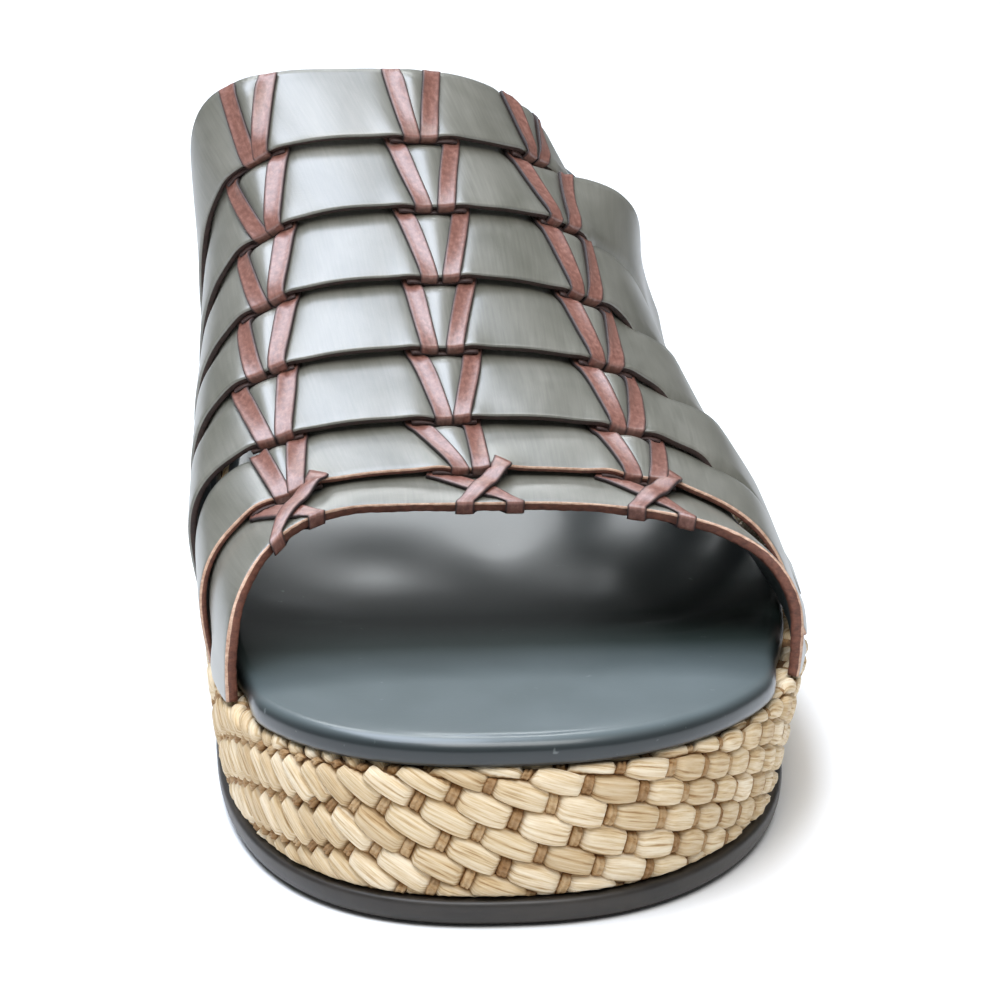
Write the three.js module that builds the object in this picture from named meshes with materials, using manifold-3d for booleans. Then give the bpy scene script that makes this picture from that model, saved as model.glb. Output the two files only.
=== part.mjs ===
// A wedge slide sandal for the left foot: a rubber outsole, a straw-wrapped wedge, a padded footbed,
// seven shingled leather straps and three columns of leather lace.
// Millimetres, +Z up. The toe points to -Y, the little-toe (lateral) side to +X.
// The origin lies on the floor under the middle of the sole.
// Below, d is the distance from the toe tip toward the heel, so y = d - LENGTH / 2.

import * as THREE from 'three';
import Module from 'manifold-3d';

// Sole outline: a superellipse round the toe on each side, a table of half widths along the sides,
// and a superellipse round the heel.
const LENGTH = 256;
const TOE_DEPTH = { medial: 70, lateral: 88 };
const TOE_POWER = { medial: 2.6, lateral: 2.22 };
const HEEL_DEPTH = 36;
const HEEL_POWER = 2.15;
// [d, half width]
const HALF_WIDTH = {
  medial: [[70, 43.4], [110, 42.8], [150, 38.5], [190, 34.5], [220, 32.5]],
  lateral: [[88, 51.4], [120, 47.4], [150, 40.0], [190, 35.0], [220, 33.5]],
};
const TOE_STEPS = 16;
const SIDE_STEPS = 12;
const HEEL_STEPS = 10;

// Heights: the top rim of the straw wall along the sole, [d, z].
const RIM = [[0, 23.6], [25, 22.4], [50, 22.0], [80, 23.2], [110, 27.0], [140, 33.2],
  [170, 40.6], [200, 47.4], [230, 52.6], [256, 55.6]];
const GAP = 0.3;
const FOOTBED_GAP = 0.6;
const OUTSOLE_THICK = 4.0;
const OUTSOLE_EDGE = 2.2;
const WALL_EDGE = 1.2;
// How far the wall leans in from its rim to the floor, [d, lean].
const LEAN = {
  medial: [[0, 0.4], [40, 1.0], [140, 0.6], [200, 2.2], [256, 4.5]],
  lateral: [[0, 0.4], [30, 1.6], [70, 4.4], [110, 4.6], [150, 3.0], [200, 3.0], [256, 4.5]],
};

// Footbed: height of its lip above the rim and of its middle above the rim, [d, height].
const LIP = [[0, 5.0], [40, 4.8], [80, 5.0], [130, 6.0], [180, 7.0], [256, 7.5]];
const MIDDLE = [[0, 5.2], [20, 5.2], [45, 4.0], [72, 2.6], [95, 2.8], [130, 4.2], [180, 5.6], [225, 5.0], [256, 6.8]];
const LIP_ROUND = 2.8;
const FOOTBED_INSET = { front: 0.3, back: 1.2 };
// Along the straps it stands further in, [d, inset].
const FOOTBED_DRAWN = {
  medial: [[36, 2.6], [90, 2.6], [150, 2.6]],
  lateral: [[38, 3.2], [80, 4.2], [105, 6.2], [150, 6.6]],
};
// [d at which the footbed starts to draw in, is drawn in, starts to come out, is out again]
const FOOTBED_WAIST = { medial: [23, 34, 138, 180], lateral: [29, 40, 163, 208] };
const CAP_COLUMNS = 8;

// Straps. Each row is the front edge of a strap, from the toe edge (row 0) to the instep, where the last
// row is the back edge of the instep strap. An edge is an arch: a superellipse from the medial rim up to
// the crown and down to the lateral rim. The medial side bulges out half way up. The lateral side is drawn in
// by a waist, and kicks out again to the rim over the lowest part of its height.
const STRAPS = 7;
const STRAP_THICK = 2.0;
const STRAP_TUCK = 1.8;
const STRAP_FOOT = 0.7;
const STRAP_CLEAR = 0.65;
const STRAP_OVERLAP = 2.6;
const STRAP_BACK_GAP = 1.0;
const STRAP_END_GAP = 2.4;
const STRAP_END = [0.2, 0.06];
const LOUVRE_FROM = 0.02;
const LOUVRE_FULL = 0.12;
const KICK = 0.55;
const ARCH_STEPS = 36;
// crown d, crown z, crown x, medial foot d, lateral foot d, medial power, lateral power, medial bulge, lateral waist
const EDGES = [
  [54.0, 45.7, -17.0, 36.0, 41.5, 2.70, 4.10, 0.8, -1.0],
  [61.0, 49.2, -8.4, 54.5, 58.0, 2.45, 3.10, 4.2, 2.8],
  [71.0, 54.7, -6.4, 71.0, 75.5, 2.80, 2.60, 6.0, 3.7],
  [83.0, 62.9, -6.3, 87.0, 94.0, 3.00, 2.40, 5.1, 6.8],
  [94.5, 71.6, -7.6, 102.0, 113.0, 3.00, 2.50, 3.9, 10.0],
  [106.0, 80.6, -10.4, 115.5, 131.5, 3.05, 2.75, 3.4, 9.4],
  [117.0, 89.9, -13.4, 126.5, 149.0, 3.65, 2.80, 4.0, 11.3],
  [126.0, 100.5, -16.4, 134.5, 159.5, 4.90, 2.65, 7.4, 11.2],
];
// How far each strap's back edge flares out beside the lace columns, instep strap first: medial side, lateral side.
const STRAP_FLARE = [[0, 0], [1.35, 8.8], [2.0, 2.5], [2.2, 3.9], [2.4, 4.2], [1.6, 3.0], [0.3, 0]];
const FLARE_FROM = 0.03;
const FLARE_FULL = 0.13;
const COVER_FULL = 0.01;
// The square corner of one strap's flap on the lateral side: how far it stands out, and where along the arch.
const FLAP_CORNER = { strap: 2, out: 2.6, at: 0.765, reach: 0.045 };

// Laces: where each column stands along the arch at each edge, as a share of the arch, toe edge first.
const LACE_COLUMNS = {
  lace_medial: [0.237, 0.257, 0.276, 0.292, 0.317, 0.332, 0.350, 0.374],
  lace_centre: [0.486, 0.489, 0.478, 0.486, 0.491, 0.496, 0.506, 0.525],
  lace_lateral: [0.700, 0.702, 0.684, 0.664, 0.646, 0.632, 0.632, 0.656],
};
// How far the legs of a V and the strands of the X tie stand from their column: [at the top, at the foot].
const V_LEGS = {
  lace_medial: { medial: [-5.4, -2.3], lateral: [3.8, 1.0] },
  lace_centre: { medial: [-4.5, -2.1], lateral: [3.9, 1.3] },
  lace_lateral: { medial: [-3.2, -1.6], lateral: [5.0, 1.8] },
};
const TIE_STRANDS = { medial: [-5.2, 4.4], lateral: [4.0, -3.8] };
const LACE_WIDTH = 2.8;
const LACE_THICK = 1.1;
const LACE_LIFT = 0.5;
const BAR_WIDTH = 1.3;

const COLOURS = { outsole: 0x32302d, wedge: 0xcbb088, footbed: 0x414848, strap: 0x696962, lace: 0x784132 };

// A smooth curve through a table of [x, y], read at x.
function along(table, x) {
  const last = table.length - 1;
  if (x <= table[0][0]) return table[0][1];
  if (x >= table[last][0]) return table[last][1];
  let i = 0;
  while (x > table[i + 1][0]) i += 1;
  const slope = (j) => {
    const a = Math.max(j - 1, 0);
    const b = Math.min(j + 1, last);
    return (table[b][1] - table[a][1]) / (table[b][0] - table[a][0]);
  };
  const [x0, y0] = table[i];
  const [x1, y1] = table[i + 1];
  const h = x1 - x0;
  const t = (x - x0) / h;
  const s = 1 - t;
  return y0 * s * s * (1 + 2 * t) + slope(i) * h * t * s * s
    + y1 * t * t * (1 + 2 * s) - slope(i + 1) * h * t * t * s;
}

function smooth(from, to, x) {
  const t = Math.min(Math.max((x - from) / (to - from), 0), 1);
  return t * t * (3 - 2 * t);
}

const rim = (d) => along(RIM, d);

// Points [d, half width] down one side of the sole, from the toe tip to the heel tip.
function sidePoints(side) {
  const table = HALF_WIDTH[side];
  const depth = TOE_DEPTH[side];
  const toe = 2 / TOE_POWER[side];
  const heel = 2 / HEEL_POWER;
  const heelStart = LENGTH - HEEL_DEPTH;
  const points = [];
  for (let i = 0; i < TOE_STEPS; i += 1) {
    const a = (Math.PI / 2) * (i / TOE_STEPS);
    points.push([depth * (1 - Math.cos(a) ** toe), table[0][1] * Math.sin(a) ** toe]);
  }
  for (let i = 0; i < SIDE_STEPS; i += 1) {
    const d = depth + (heelStart - depth) * (i / SIDE_STEPS);
    points.push([d, along(table, d)]);
  }
  for (let i = 0; i <= HEEL_STEPS; i += 1) {
    const a = (Math.PI / 2) * (i / HEEL_STEPS);
    const reach = i === HEEL_STEPS ? 0 : Math.cos(a) ** heel;
    points.push([heelStart + HEEL_DEPTH * Math.sin(a) ** heel, table[table.length - 1][1] * reach]);
  }
  return points;
}

// Half width of the sole at d on one side.
function halfWidth(d, side) {
  const table = HALF_WIDTH[side];
  const depth = TOE_DEPTH[side];
  if (d >= depth) return along(table, d);
  const n = TOE_POWER[side];
  return table[0][1] * (1 - ((depth - d) / depth) ** n) ** (1 / n);
}

// One side of the outline drawn in by inset(d), at height z(d), as points from the toe tip to the heel tip.
function sideLine(side, inset, height) {
  const points = sidePoints(side);
  const sign = side === 'medial' ? -1 : 1;
  const last = points.length - 1;
  return points.map(([d, w], i) => {
    const reach = inset(d, side);
    let [dd, ww] = [d, w];
    if (i === 0) dd = d + reach;
    else if (i === last) dd = d - reach;
    else {
      const td = points[i + 1][0] - points[i - 1][0];
      const tw = points[i + 1][1] - points[i - 1][1];
      const length = Math.hypot(td, tw);
      dd = d + (reach * tw) / length;
      ww = w - (reach * td) / length;
    }
    return new THREE.Vector3(sign * ww, dd - LENGTH / 2, height(dd));
  });
}

// Both sides of one closed line round the sole.
function soleRing(inset, height) {
  return { medial: sideLine('medial', inset, height), lateral: sideLine('lateral', inset, height) };
}

// Quads between two rings, the lower one first, facing out.
function wall(lower, upper) {
  const quads = [];
  for (let i = 0; i + 1 < lower.lateral.length; i += 1) {
    quads.push([lower.lateral[i], lower.lateral[i + 1], upper.lateral[i + 1], upper.lateral[i]]);
    quads.push([lower.medial[i + 1], lower.medial[i], upper.medial[i], upper.medial[i + 1]]);
  }
  return quads;
}

// Quads across a ring from the medial to the lateral side; sink(d, across) lowers the middle.
function cap(ring, columns, faceUp, sink) {
  const point = (i, j) => {
    const a = ring.medial[i];
    const b = ring.lateral[i];
    if (j === 0) return a;
    if (j === columns) return b;
    const p = a.clone().lerp(b, j / columns);
    const across = (2 * j) / columns - 1;
    p.z -= sink(p.y + LENGTH / 2, across) * Math.min(1, (b.x - a.x) / 20);
    return p;
  };
  const quads = [];
  for (let i = 0; i + 1 < ring.medial.length; i += 1) {
    for (let j = 0; j < columns; j += 1) {
      const quad = [point(i, j), point(i, j + 1), point(i + 1, j + 1), point(i + 1, j)];
      quads.push(faceUp ? quad : quad.reverse());
    }
  }
  return quads;
}

// A closed triangle mesh from quads: equal corners become one, and triangles without area are left out.
function weld(quads) {
  const index = new Map();
  const vertices = [];
  const triangles = [];
  const corner = (p) => {
    const key = [p.x, p.y, p.z].map((c) => Math.round(c * 1e4)).join(' ');
    if (!index.has(key)) {
      index.set(key, vertices.length / 3);
      vertices.push(p.x, p.y, p.z);
    }
    return index.get(key);
  };
  for (const quad of quads) {
    const [a, b, c, e] = quad.map(corner);
    for (const t of [[a, b, c], [a, c, e]]) {
      if (t[0] !== t[1] && t[1] !== t[2] && t[2] !== t[0]) triangles.push(...t);
    }
  }
  return { vertices, triangles };
}

function geometry({ vertices, triangles }) {
  const shape = new THREE.BufferGeometry();
  shape.setAttribute('position', new THREE.Float32BufferAttribute(vertices, 3));
  shape.setIndex(triangles);
  shape.computeVertexNormals();
  return shape;
}

// The sole's wall leans in toward the floor: all of the lean at the floor, none at the rim.
const lean = (d, side, share) => along(LEAN[side], d) * (1 - share);

function outsole() {
  const level = (inset, z) => soleRing((d, side) => inset + lean(d, side, z / rim(d)), () => z);
  const rings = [level(OUTSOLE_EDGE, 0), level(1.0, 1.2), level(0.4, 2.6), level(0.4, OUTSOLE_THICK)];
  const quads = [...cap(rings[0], 1, false), ...cap(rings[3], 1, true)];
  for (let i = 0; i < 3; i += 1) quads.push(...wall(rings[i], rings[i + 1]));
  return geometry(weld(quads));
}

function wedge() {
  const foot = OUTSOLE_THICK + GAP;
  const level = (inset, share, drop) => soleRing(
    (d, side) => inset + lean(d, side, share),
    (d) => foot + (rim(d) - foot) * share - drop,
  );
  const rings = [level(0.8, 0, 0), level(0.2, 0.5, 0), level(0, 1, WALL_EDGE), level(WALL_EDGE, 1, 0)];
  const quads = [...cap(rings[0], 1, false), ...cap(rings[3], 1, true)];
  for (let i = 0; i < 3; i += 1) quads.push(...wall(rings[i], rings[i + 1]));
  return geometry(weld(quads));
}

// How far the footbed's side stands in from the straw wall.
function footbedInset(d, side) {
  const [a, b, c, e] = FOOTBED_WAIST[side];
  const deep = along(FOOTBED_DRAWN[side], d);
  const front = FOOTBED_INSET.front + (deep - FOOTBED_INSET.front) * smooth(a, b, d);
  return front + (FOOTBED_INSET.back - deep) * smooth(c, e, d);
}

function footbed() {
  const level = (inset, height) => soleRing(
    (d, side) => footbedInset(d, side) + inset,
    (d) => rim(d) + height(d),
  );
  const lip = (d) => along(LIP, d);
  const rings = [
    level(1.2, () => FOOTBED_GAP),
    level(0.1, () => 1.5),
    level(0.3, (d) => lip(d) * 0.66),
    level(LIP_ROUND * 0.4, (d) => lip(d) * 0.92),
    level(LIP_ROUND, lip),
  ];
  const sink = (d, across) => (lip(d) - along(MIDDLE, d)) * (1 - across ** 4);
  const quads = [...cap(rings[0], 1, false), ...cap(rings[4], CAP_COLUMNS, true, sink)];
  for (let i = 0; i < 4; i += 1) quads.push(...wall(rings[i], rings[i + 1]));
  return geometry(weld(quads));
}

function edgeRow(k) {
  const i = Math.min(Math.max(Math.floor(k), 0), EDGES.length - 2);
  return EDGES[i].map((value, c) => value + (EDGES[i + 1][c] - value) * (k - i));
}

// Point on the inner line of edge k at the share u of its length, from the medial foot to the lateral one.
const FINE = 240;
function archPoint(k, u) {
  const [crownD, crownZ, crownX, medialD, lateralD, medialN, lateralN, medialBulge, lateralWaist] = edgeRow(k);
  const points = [];
  const run = [0];
  for (let i = 0; i <= FINE; i += 1) {
    const a = (Math.PI * i) / FINE;
    const c = Math.cos(a);
    const s = Math.abs(Math.sin(a));
    const medial = c > 0;
    const power = 2 / (medial ? medialN : lateralN);
    const footD = medial ? medialD : lateralD;
    const side = medial ? 'medial' : 'lateral';
    const footX = (medial ? -1 : 1) * (halfWidth(footD, side) - STRAP_TUCK);
    const footZ = rim(footD) + STRAP_FOOT;
    const rise = (s < 1e-9 ? 0 : s) ** power;
    const drawn = medial ? 0 : lateralWaist;
    const bulge = medial ? -medialBulge * Math.abs(Math.sin(2 * a)) : 0;
    const kick = drawn * Math.max(1 - rise / KICK, 0) ** 2;
    points.push(new THREE.Vector3(
      crownX + (footX - drawn - crownX) * Math.abs(c) ** power + kick + bulge,
      crownD + (footD - crownD) * c * c - LENGTH / 2,
      footZ + (crownZ - footZ) * rise,
    ));
    if (i > 0) run.push(run[i - 1] + points[i].distanceTo(points[i - 1]));
  }
  const target = Math.min(Math.max(u, 0), 1) * run[FINE];
  let i = 0;
  while (i < FINE - 1 && run[i + 1] < target) i += 1;
  const share = (target - run[i]) / (run[i + 1] - run[i]);
  return { point: points[i].clone().lerp(points[i + 1], share), length: run[FINE] };
}

// The strap surface's outward direction at edge k and share u.
function archNormal(k, u) {
  const alongArch = archPoint(k, Math.min(u + 0.012, 1)).point.sub(archPoint(k, Math.max(u - 0.012, 0)).point);
  const backward = archPoint(k + 0.2, u).point.sub(archPoint(k - 0.2, u).point);
  return alongArch.cross(backward).normalize();
}

// Distance along the crown from edge k to the next one back.
function pitch(k) {
  const [a, b] = [EDGES[k], EDGES[k + 1]];
  return Math.hypot(b[0] - a[0], b[1] - a[1]);
}

// Shares of the arch at which the lace columns cross strap n's back edge: medial, lateral.
function backColumns(n) {
  const back = STRAPS - n + 1;
  return [LACE_COLUMNS.lace_medial[back], LACE_COLUMNS.lace_lateral[back]];
}

// How far strap n's back edge flares out at u, beside the lace columns.
function flare(n, u) {
  const [medial, lateral] = backColumns(n);
  const [medialOut, lateralOut] = STRAP_FLARE[n - 1];
  const { strap: flap, out, at, reach } = FLAP_CORNER;
  const corner = n === flap ? out * Math.exp(-(((u - at) / reach) ** 2)) : 0;
  return medialOut * smooth(medial - FLARE_FROM, medial - FLARE_FULL, u)
    + lateralOut * smooth(lateral + FLARE_FROM, lateral + FLARE_FULL, u) + corner;
}

// A point of strap n (1 at the instep, STRAPS at the toe): u along the arch, v from the front edge (0) to the
// line of the next strap's front edge (1), h out from the inner face. The back sinks under the next strap.
function strapPoint(n, u, v, h) {
  const front = STRAPS - n;
  const k = front + v;
  const reach = Math.min(u, 1 - u);
  const sink = (STRAP_THICK + STRAP_CLEAR - flare(n, u)) * smooth(LOUVRE_FROM, LOUVRE_FULL, reach);
  const { point } = archPoint(k, u);
  return point.addScaledVector(archNormal(k, u), h - v * sink);
}

// How far back strap n reaches at u, as v: past the next front edge between the outer lace columns, short of it
// beside them and shorter still at the feet. The instep strap ends at its own back edge.
function strapBack(n, u) {
  if (n === 1) return 1;
  const [medial, lateral] = backColumns(n);
  const cover = smooth(medial - FLARE_FROM, medial + COVER_FULL, u)
    * smooth(lateral + FLARE_FROM, lateral - COVER_FULL, u);
  const short = STRAP_BACK_GAP + (STRAP_END_GAP - STRAP_BACK_GAP) * smooth(...STRAP_END, Math.min(u, 1 - u));
  return 1 + ((STRAP_OVERLAP + short) * cover - short) / pitch(STRAPS - n);
}

function strap(n) {
  const rings = [];
  for (let i = 0; i <= ARCH_STEPS; i += 1) {
    const u = i / ARCH_STEPS;
    const back = strapBack(n, u);
    rings.push([
      strapPoint(n, u, 0, 0), strapPoint(n, u, back / 2, 0), strapPoint(n, u, back, 0),
      strapPoint(n, u, back, STRAP_THICK), strapPoint(n, u, back / 2, STRAP_THICK), strapPoint(n, u, 0, STRAP_THICK),
    ]);
  }
  const quads = [];
  for (let i = 0; i < ARCH_STEPS; i += 1) {
    for (let j = 0; j < 6; j += 1) {
      const next = (j + 1) % 6;
      quads.push([rings[i][j], rings[i][next], rings[i + 1][next], rings[i + 1][j]]);
    }
  }
  const end = (r) => [[r[0], r[5], r[4], r[1]], [r[1], r[4], r[3], r[2]]];
  quads.push(...end(rings[0]), ...end(rings[ARCH_STEPS]).map((quad) => quad.slice().reverse()));
  return geometry(weld(quads));
}

const wasm = await Module();
wasm.setup();

// A closed bar through stations of four corners each: bottom left, bottom right, top right, top left.
function bar(stations) {
  const quads = [];
  for (let i = 0; i + 1 < stations.length; i += 1) {
    for (let j = 0; j < 4; j += 1) {
      const next = (j + 1) % 4;
      quads.push([stations[i][j], stations[i][next], stations[i + 1][next], stations[i + 1][j]]);
    }
  }
  quads.push(stations[0].slice().reverse(), stations[stations.length - 1]);
  const across = stations[0][1].clone().sub(stations[0][0]);
  const upward = stations[0][3].clone().sub(stations[0][0]);
  const ahead = stations[1][0].clone().sub(stations[0][0]);
  const turned = across.cross(upward).dot(ahead) < 0;
  const { vertices, triangles } = weld(turned ? quads.map((quad) => quad.slice().reverse()) : quads);
  const mesh = new wasm.Mesh({
    numProp: 3,
    vertProperties: new Float32Array(vertices),
    triVerts: new Uint32Array(triangles),
  });
  return new wasm.Manifold(mesh);
}

// Four corners across a lace on strap n, its width along the arch: centre u, position v, heights low and high.
function acrossArch(n, u, v, low, high, width) {
  const { length } = archPoint(STRAPS - n + v, u);
  const [left, right] = [u - width / 2 / length, u + width / 2 / length];
  return [
    strapPoint(n, left, v, low), strapPoint(n, right, v, low),
    strapPoint(n, right, v, high), strapPoint(n, left, v, high),
  ];
}

// Four corners of a bar that runs along the arch of strap n: at u, between positions front and back.
function alongArch(n, u, front, back, low, high) {
  return [
    strapPoint(n, u, front, low), strapPoint(n, u, back, low),
    strapPoint(n, u, back, high), strapPoint(n, u, front, high),
  ];
}

// One column of lace: two legs that close to a V on every strap, each with a drop over the strap's front
// edge, a bar across the next strap under that edge, and an X tie over the toe edge.
function lace(name) {
  const shares = LACE_COLUMNS[name];
  const pieces = [];
  const low = STRAP_THICK + LACE_LIFT;
  const high = low + LACE_THICK;
  const under = LACE_THICK * 0.15;
  const shift = (k, u, mm) => u + mm / archPoint(k, u).length;
  for (let n = 1; n <= STRAPS; n += 1) {
    const front = STRAPS - n;
    const tie = n === STRAPS;
    const [topU, footU] = [shares[front + 1], shares[front]];
    const clear = LACE_LIFT / pitch(front);
    const deep = BAR_WIDTH / pitch(front);
    const overhang = -clear - deep;
    const start = n === 1 ? 1 + clear + deep : 1 - clear;
    const legs = tie ? TIE_STRANDS : V_LEGS[name];
    for (const side of ['medial', 'lateral']) {
      const [wide, narrow] = legs[side];
      const over = tie && side === 'lateral' ? LACE_THICK * 0.8 : 0;
      pieces.push(bar([0, 0.5, 1].map((share) => {
        const v = start + (overhang - start) * share;
        const u = shift(front, topU + (footU - topU) * share, wide + (narrow - wide) * share);
        const raise = over * Math.sin(Math.PI * share);
        return acrossArch(n, u, v, low + raise, high + raise, LACE_WIDTH);
      })));
      const dropU = shift(front, footU, narrow);
      const dropEnd = tie ? STRAP_THICK * 0.2 : low - (STRAP_THICK + STRAP_CLEAR) + LACE_THICK / 2;
      pieces.push(bar([overhang + deep * 0.1, overhang + deep * 0.9].map(
        (v) => acrossArch(n, dropU, v, dropEnd, low + LACE_THICK / 2, LACE_WIDTH * 0.9),
      )));
    }
    const ends = [legs.medial[0] - LACE_WIDTH * 0.45, legs.lateral[0] + LACE_WIDTH * 0.45];
    const barFront = n === 1 ? 1 + clear + deep * 0.1 : start - deep;
    const barBack = start - deep * 0.1;
    const barLow = n === 1 ? STRAP_THICK * 0.3 : low + under;
    pieces.push(bar([0, 1 / 3, 2 / 3, 1].map((share) => {
      const u = shift(front + 1, topU, ends[0] + (ends[1] - ends[0]) * share);
      return alongArch(n, u, barFront, barBack, barLow, high - under);
    })));
  }
  let whole = pieces[0];
  for (const piece of pieces.slice(1)) whole = whole.add(piece);
  const mesh = whole.getMesh();
  const vertices = [];
  for (let i = 0; i < mesh.vertProperties.length; i += mesh.numProp) {
    vertices.push(mesh.vertProperties[i], mesh.vertProperties[i + 1], mesh.vertProperties[i + 2]);
  }
  return geometry({ vertices, triangles: Array.from(mesh.triVerts) });
}

const sandal = new THREE.Group();

function place(name, shape, colour, roughness) {
  const material = new THREE.MeshStandardMaterial({ color: colour, roughness, metalness: 0 });
  const mesh = new THREE.Mesh(shape, material);
  mesh.name = name;
  sandal.add(mesh);
}

place('outsole', outsole(), COLOURS.outsole, 0.8);
place('wedge', wedge(), COLOURS.wedge, 0.75);
place('footbed', footbed(), COLOURS.footbed, 0.45);
for (let n = 1; n <= STRAPS; n += 1) place(`strap_${n}`, strap(n), COLOURS.strap, 0.5);
for (const name of Object.keys(LACE_COLUMNS)) place(name, lace(name), COLOURS.lace, 0.45);

export default sandal;
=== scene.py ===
"""A wedge slide sandal for the left foot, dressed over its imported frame.

Shapes are worked out in millimetres and put into the meshes in metres. +Z is up, the toe points to -Y and
the little-toe (lateral) side to +X. d is the distance from the toe tip toward the heel, so
y = d - LENGTH / 2.
"""
import math

import bmesh
import bpy
import numpy as np
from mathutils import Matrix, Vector


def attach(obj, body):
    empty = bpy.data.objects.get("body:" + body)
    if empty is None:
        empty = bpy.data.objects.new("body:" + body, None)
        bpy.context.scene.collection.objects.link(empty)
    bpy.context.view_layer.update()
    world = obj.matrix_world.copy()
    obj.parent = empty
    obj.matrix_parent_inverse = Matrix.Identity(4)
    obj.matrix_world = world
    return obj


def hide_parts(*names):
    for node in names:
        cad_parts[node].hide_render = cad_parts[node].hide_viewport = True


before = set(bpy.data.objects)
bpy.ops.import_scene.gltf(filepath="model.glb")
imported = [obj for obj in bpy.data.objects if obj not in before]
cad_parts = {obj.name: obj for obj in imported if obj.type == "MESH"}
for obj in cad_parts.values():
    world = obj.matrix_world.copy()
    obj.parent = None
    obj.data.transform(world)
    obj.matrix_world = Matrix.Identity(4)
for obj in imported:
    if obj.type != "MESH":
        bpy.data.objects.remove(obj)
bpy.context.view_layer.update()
BODY = "root"
# A millimetre in metres, and a centimetre in millimetres
MM = 0.001
CM = 10

# Sole outline, rim and heights
LENGTH = 256.0
TOE_DEPTH = {"medial": 70.0, "lateral": 88.0}
TOE_POWER = {"medial": 2.6, "lateral": 2.22}
HEEL_DEPTH = 36.0
HEEL_POWER = 2.15
# d, half width
HALF_WIDTH = {
    "medial": [[70, 43.4], [110, 42.8], [150, 38.5], [190, 34.5], [220, 32.5]],
    "lateral": [[88, 51.4], [120, 47.4], [150, 40.0], [190, 35.0], [220, 33.5]],
}
# d, height of the straw wall's rim
RIM = [[0, 23.6], [25, 22.4], [50, 22.0], [80, 23.2], [110, 27.0], [140, 33.2],
       [170, 40.6], [200, 47.4], [230, 52.6], [256, 55.6]]
# How far in and how high the outsole's edge runs, from the floor up
OUTSOLE_EDGE = [(2.4, 0.0), (1.5, 0.25), (0.9, 0.7), (0.5, 1.4), (0.35, 2.2), (0.35, 3.2),
                (0.5, 3.7), (0.95, 4.0)]
WEDGE_FOOT = 4.3
# d, how far the wall leans in from its rim to the floor
LEAN = {
    "medial": [[0, 0.4], [40, 1.0], [140, 0.6], [200, 2.2], [256, 4.5]],
    "lateral": [[0, 0.4], [30, 1.6], [70, 4.4], [110, 4.6], [150, 3.0], [200, 3.0], [256, 4.5]],
}

# Footbed: d, height above the rim
LIP = [[0, 5.0], [40, 4.8], [80, 5.0], [130, 6.0], [180, 7.0], [256, 7.5]]
MIDDLE = [[0, 5.1], [15, 5.7], [30, 6.0], [45, 4.9], [60, 3.2], [72, 2.3], [85, 2.3], [95, 2.6], [130, 4.2],
          [180, 5.6], [225, 5.0], [256, 6.8]]
FOOTBED_INSET = {"front": 0.3, "back": 1.2}
# d, how far the side is drawn in beside the straps, and the d where that starts, is full, ends and is gone
FOOTBED_DRAWN = {
    "medial": [[36, 2.6], [90, 2.6], [150, 2.6]],
    "lateral": [[38, 3.2], [80, 4.2], [105, 6.2], [150, 6.6]],
}
FOOTBED_WAIST = {"medial": [22, 36, 138, 180], "lateral": [26, 42, 163, 208]}
FOOTBED_GAP = 0.6

# Straps: rows of arches from the toe edge to the back of the instep strap
STRAPS = 7
STRAP_THICK = 2.0
STRAP_TUCK = 1.8
STRAP_FOOT = 0.7
STRAP_CLEAR = 0.65
STRAP_OVERLAP = 2.6
STRAP_BACK_GAP = 1.0
STRAP_END_GAP = 2.4
STRAP_END = (0.2, 0.06)
LOUVRE_FROM = 0.02
LOUVRE_FULL = 0.12
KICK = 0.55
# crown d, crown z, crown x, medial foot d, lateral foot d, medial power, lateral power, medial bulge,
# lateral waist
EDGES = np.array([
    [54.0, 45.7, -17.0, 36.0, 41.5, 2.70, 4.10, 0.8, -1.0],
    [61.0, 49.2, -8.4, 54.5, 58.0, 2.45, 3.10, 4.2, 2.8],
    [71.0, 54.7, -6.4, 71.0, 75.5, 2.80, 2.60, 6.0, 3.7],
    [83.0, 62.9, -6.3, 87.0, 94.0, 3.00, 2.40, 5.1, 6.8],
    [94.5, 71.6, -7.6, 102.0, 113.0, 3.00, 2.50, 3.9, 10.0],
    [106.0, 80.6, -10.4, 115.5, 131.5, 3.05, 2.75, 3.4, 9.4],
    [117.0, 89.9, -13.4, 126.5, 149.0, 3.65, 2.80, 4.0, 11.3],
    [126.0, 100.5, -16.4, 134.5, 159.5, 4.90, 2.65, 7.4, 11.2],
])
# How far the back edge of strap 1 to 7 stands out past the outer lace columns: medial, lateral
STRAP_FLARE = [[0, 0], [1.35, 8.8], [2.0, 2.5], [2.2, 3.9], [2.4, 4.2], [1.6, 3.0], [0.3, 0]]
FLARE_FULL = 0.13

# Laces: where each column stands along the arch at each edge, as a share of the arch, toe edge first
LACE_COLUMNS = {
    "lace_medial": [0.237, 0.257, 0.276, 0.292, 0.317, 0.332, 0.350, 0.374],
    "lace_centre": [0.486, 0.489, 0.478, 0.486, 0.491, 0.496, 0.506, 0.525],
    "lace_lateral": [0.700, 0.702, 0.684, 0.664, 0.646, 0.632, 0.632, 0.656],
}
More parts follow.
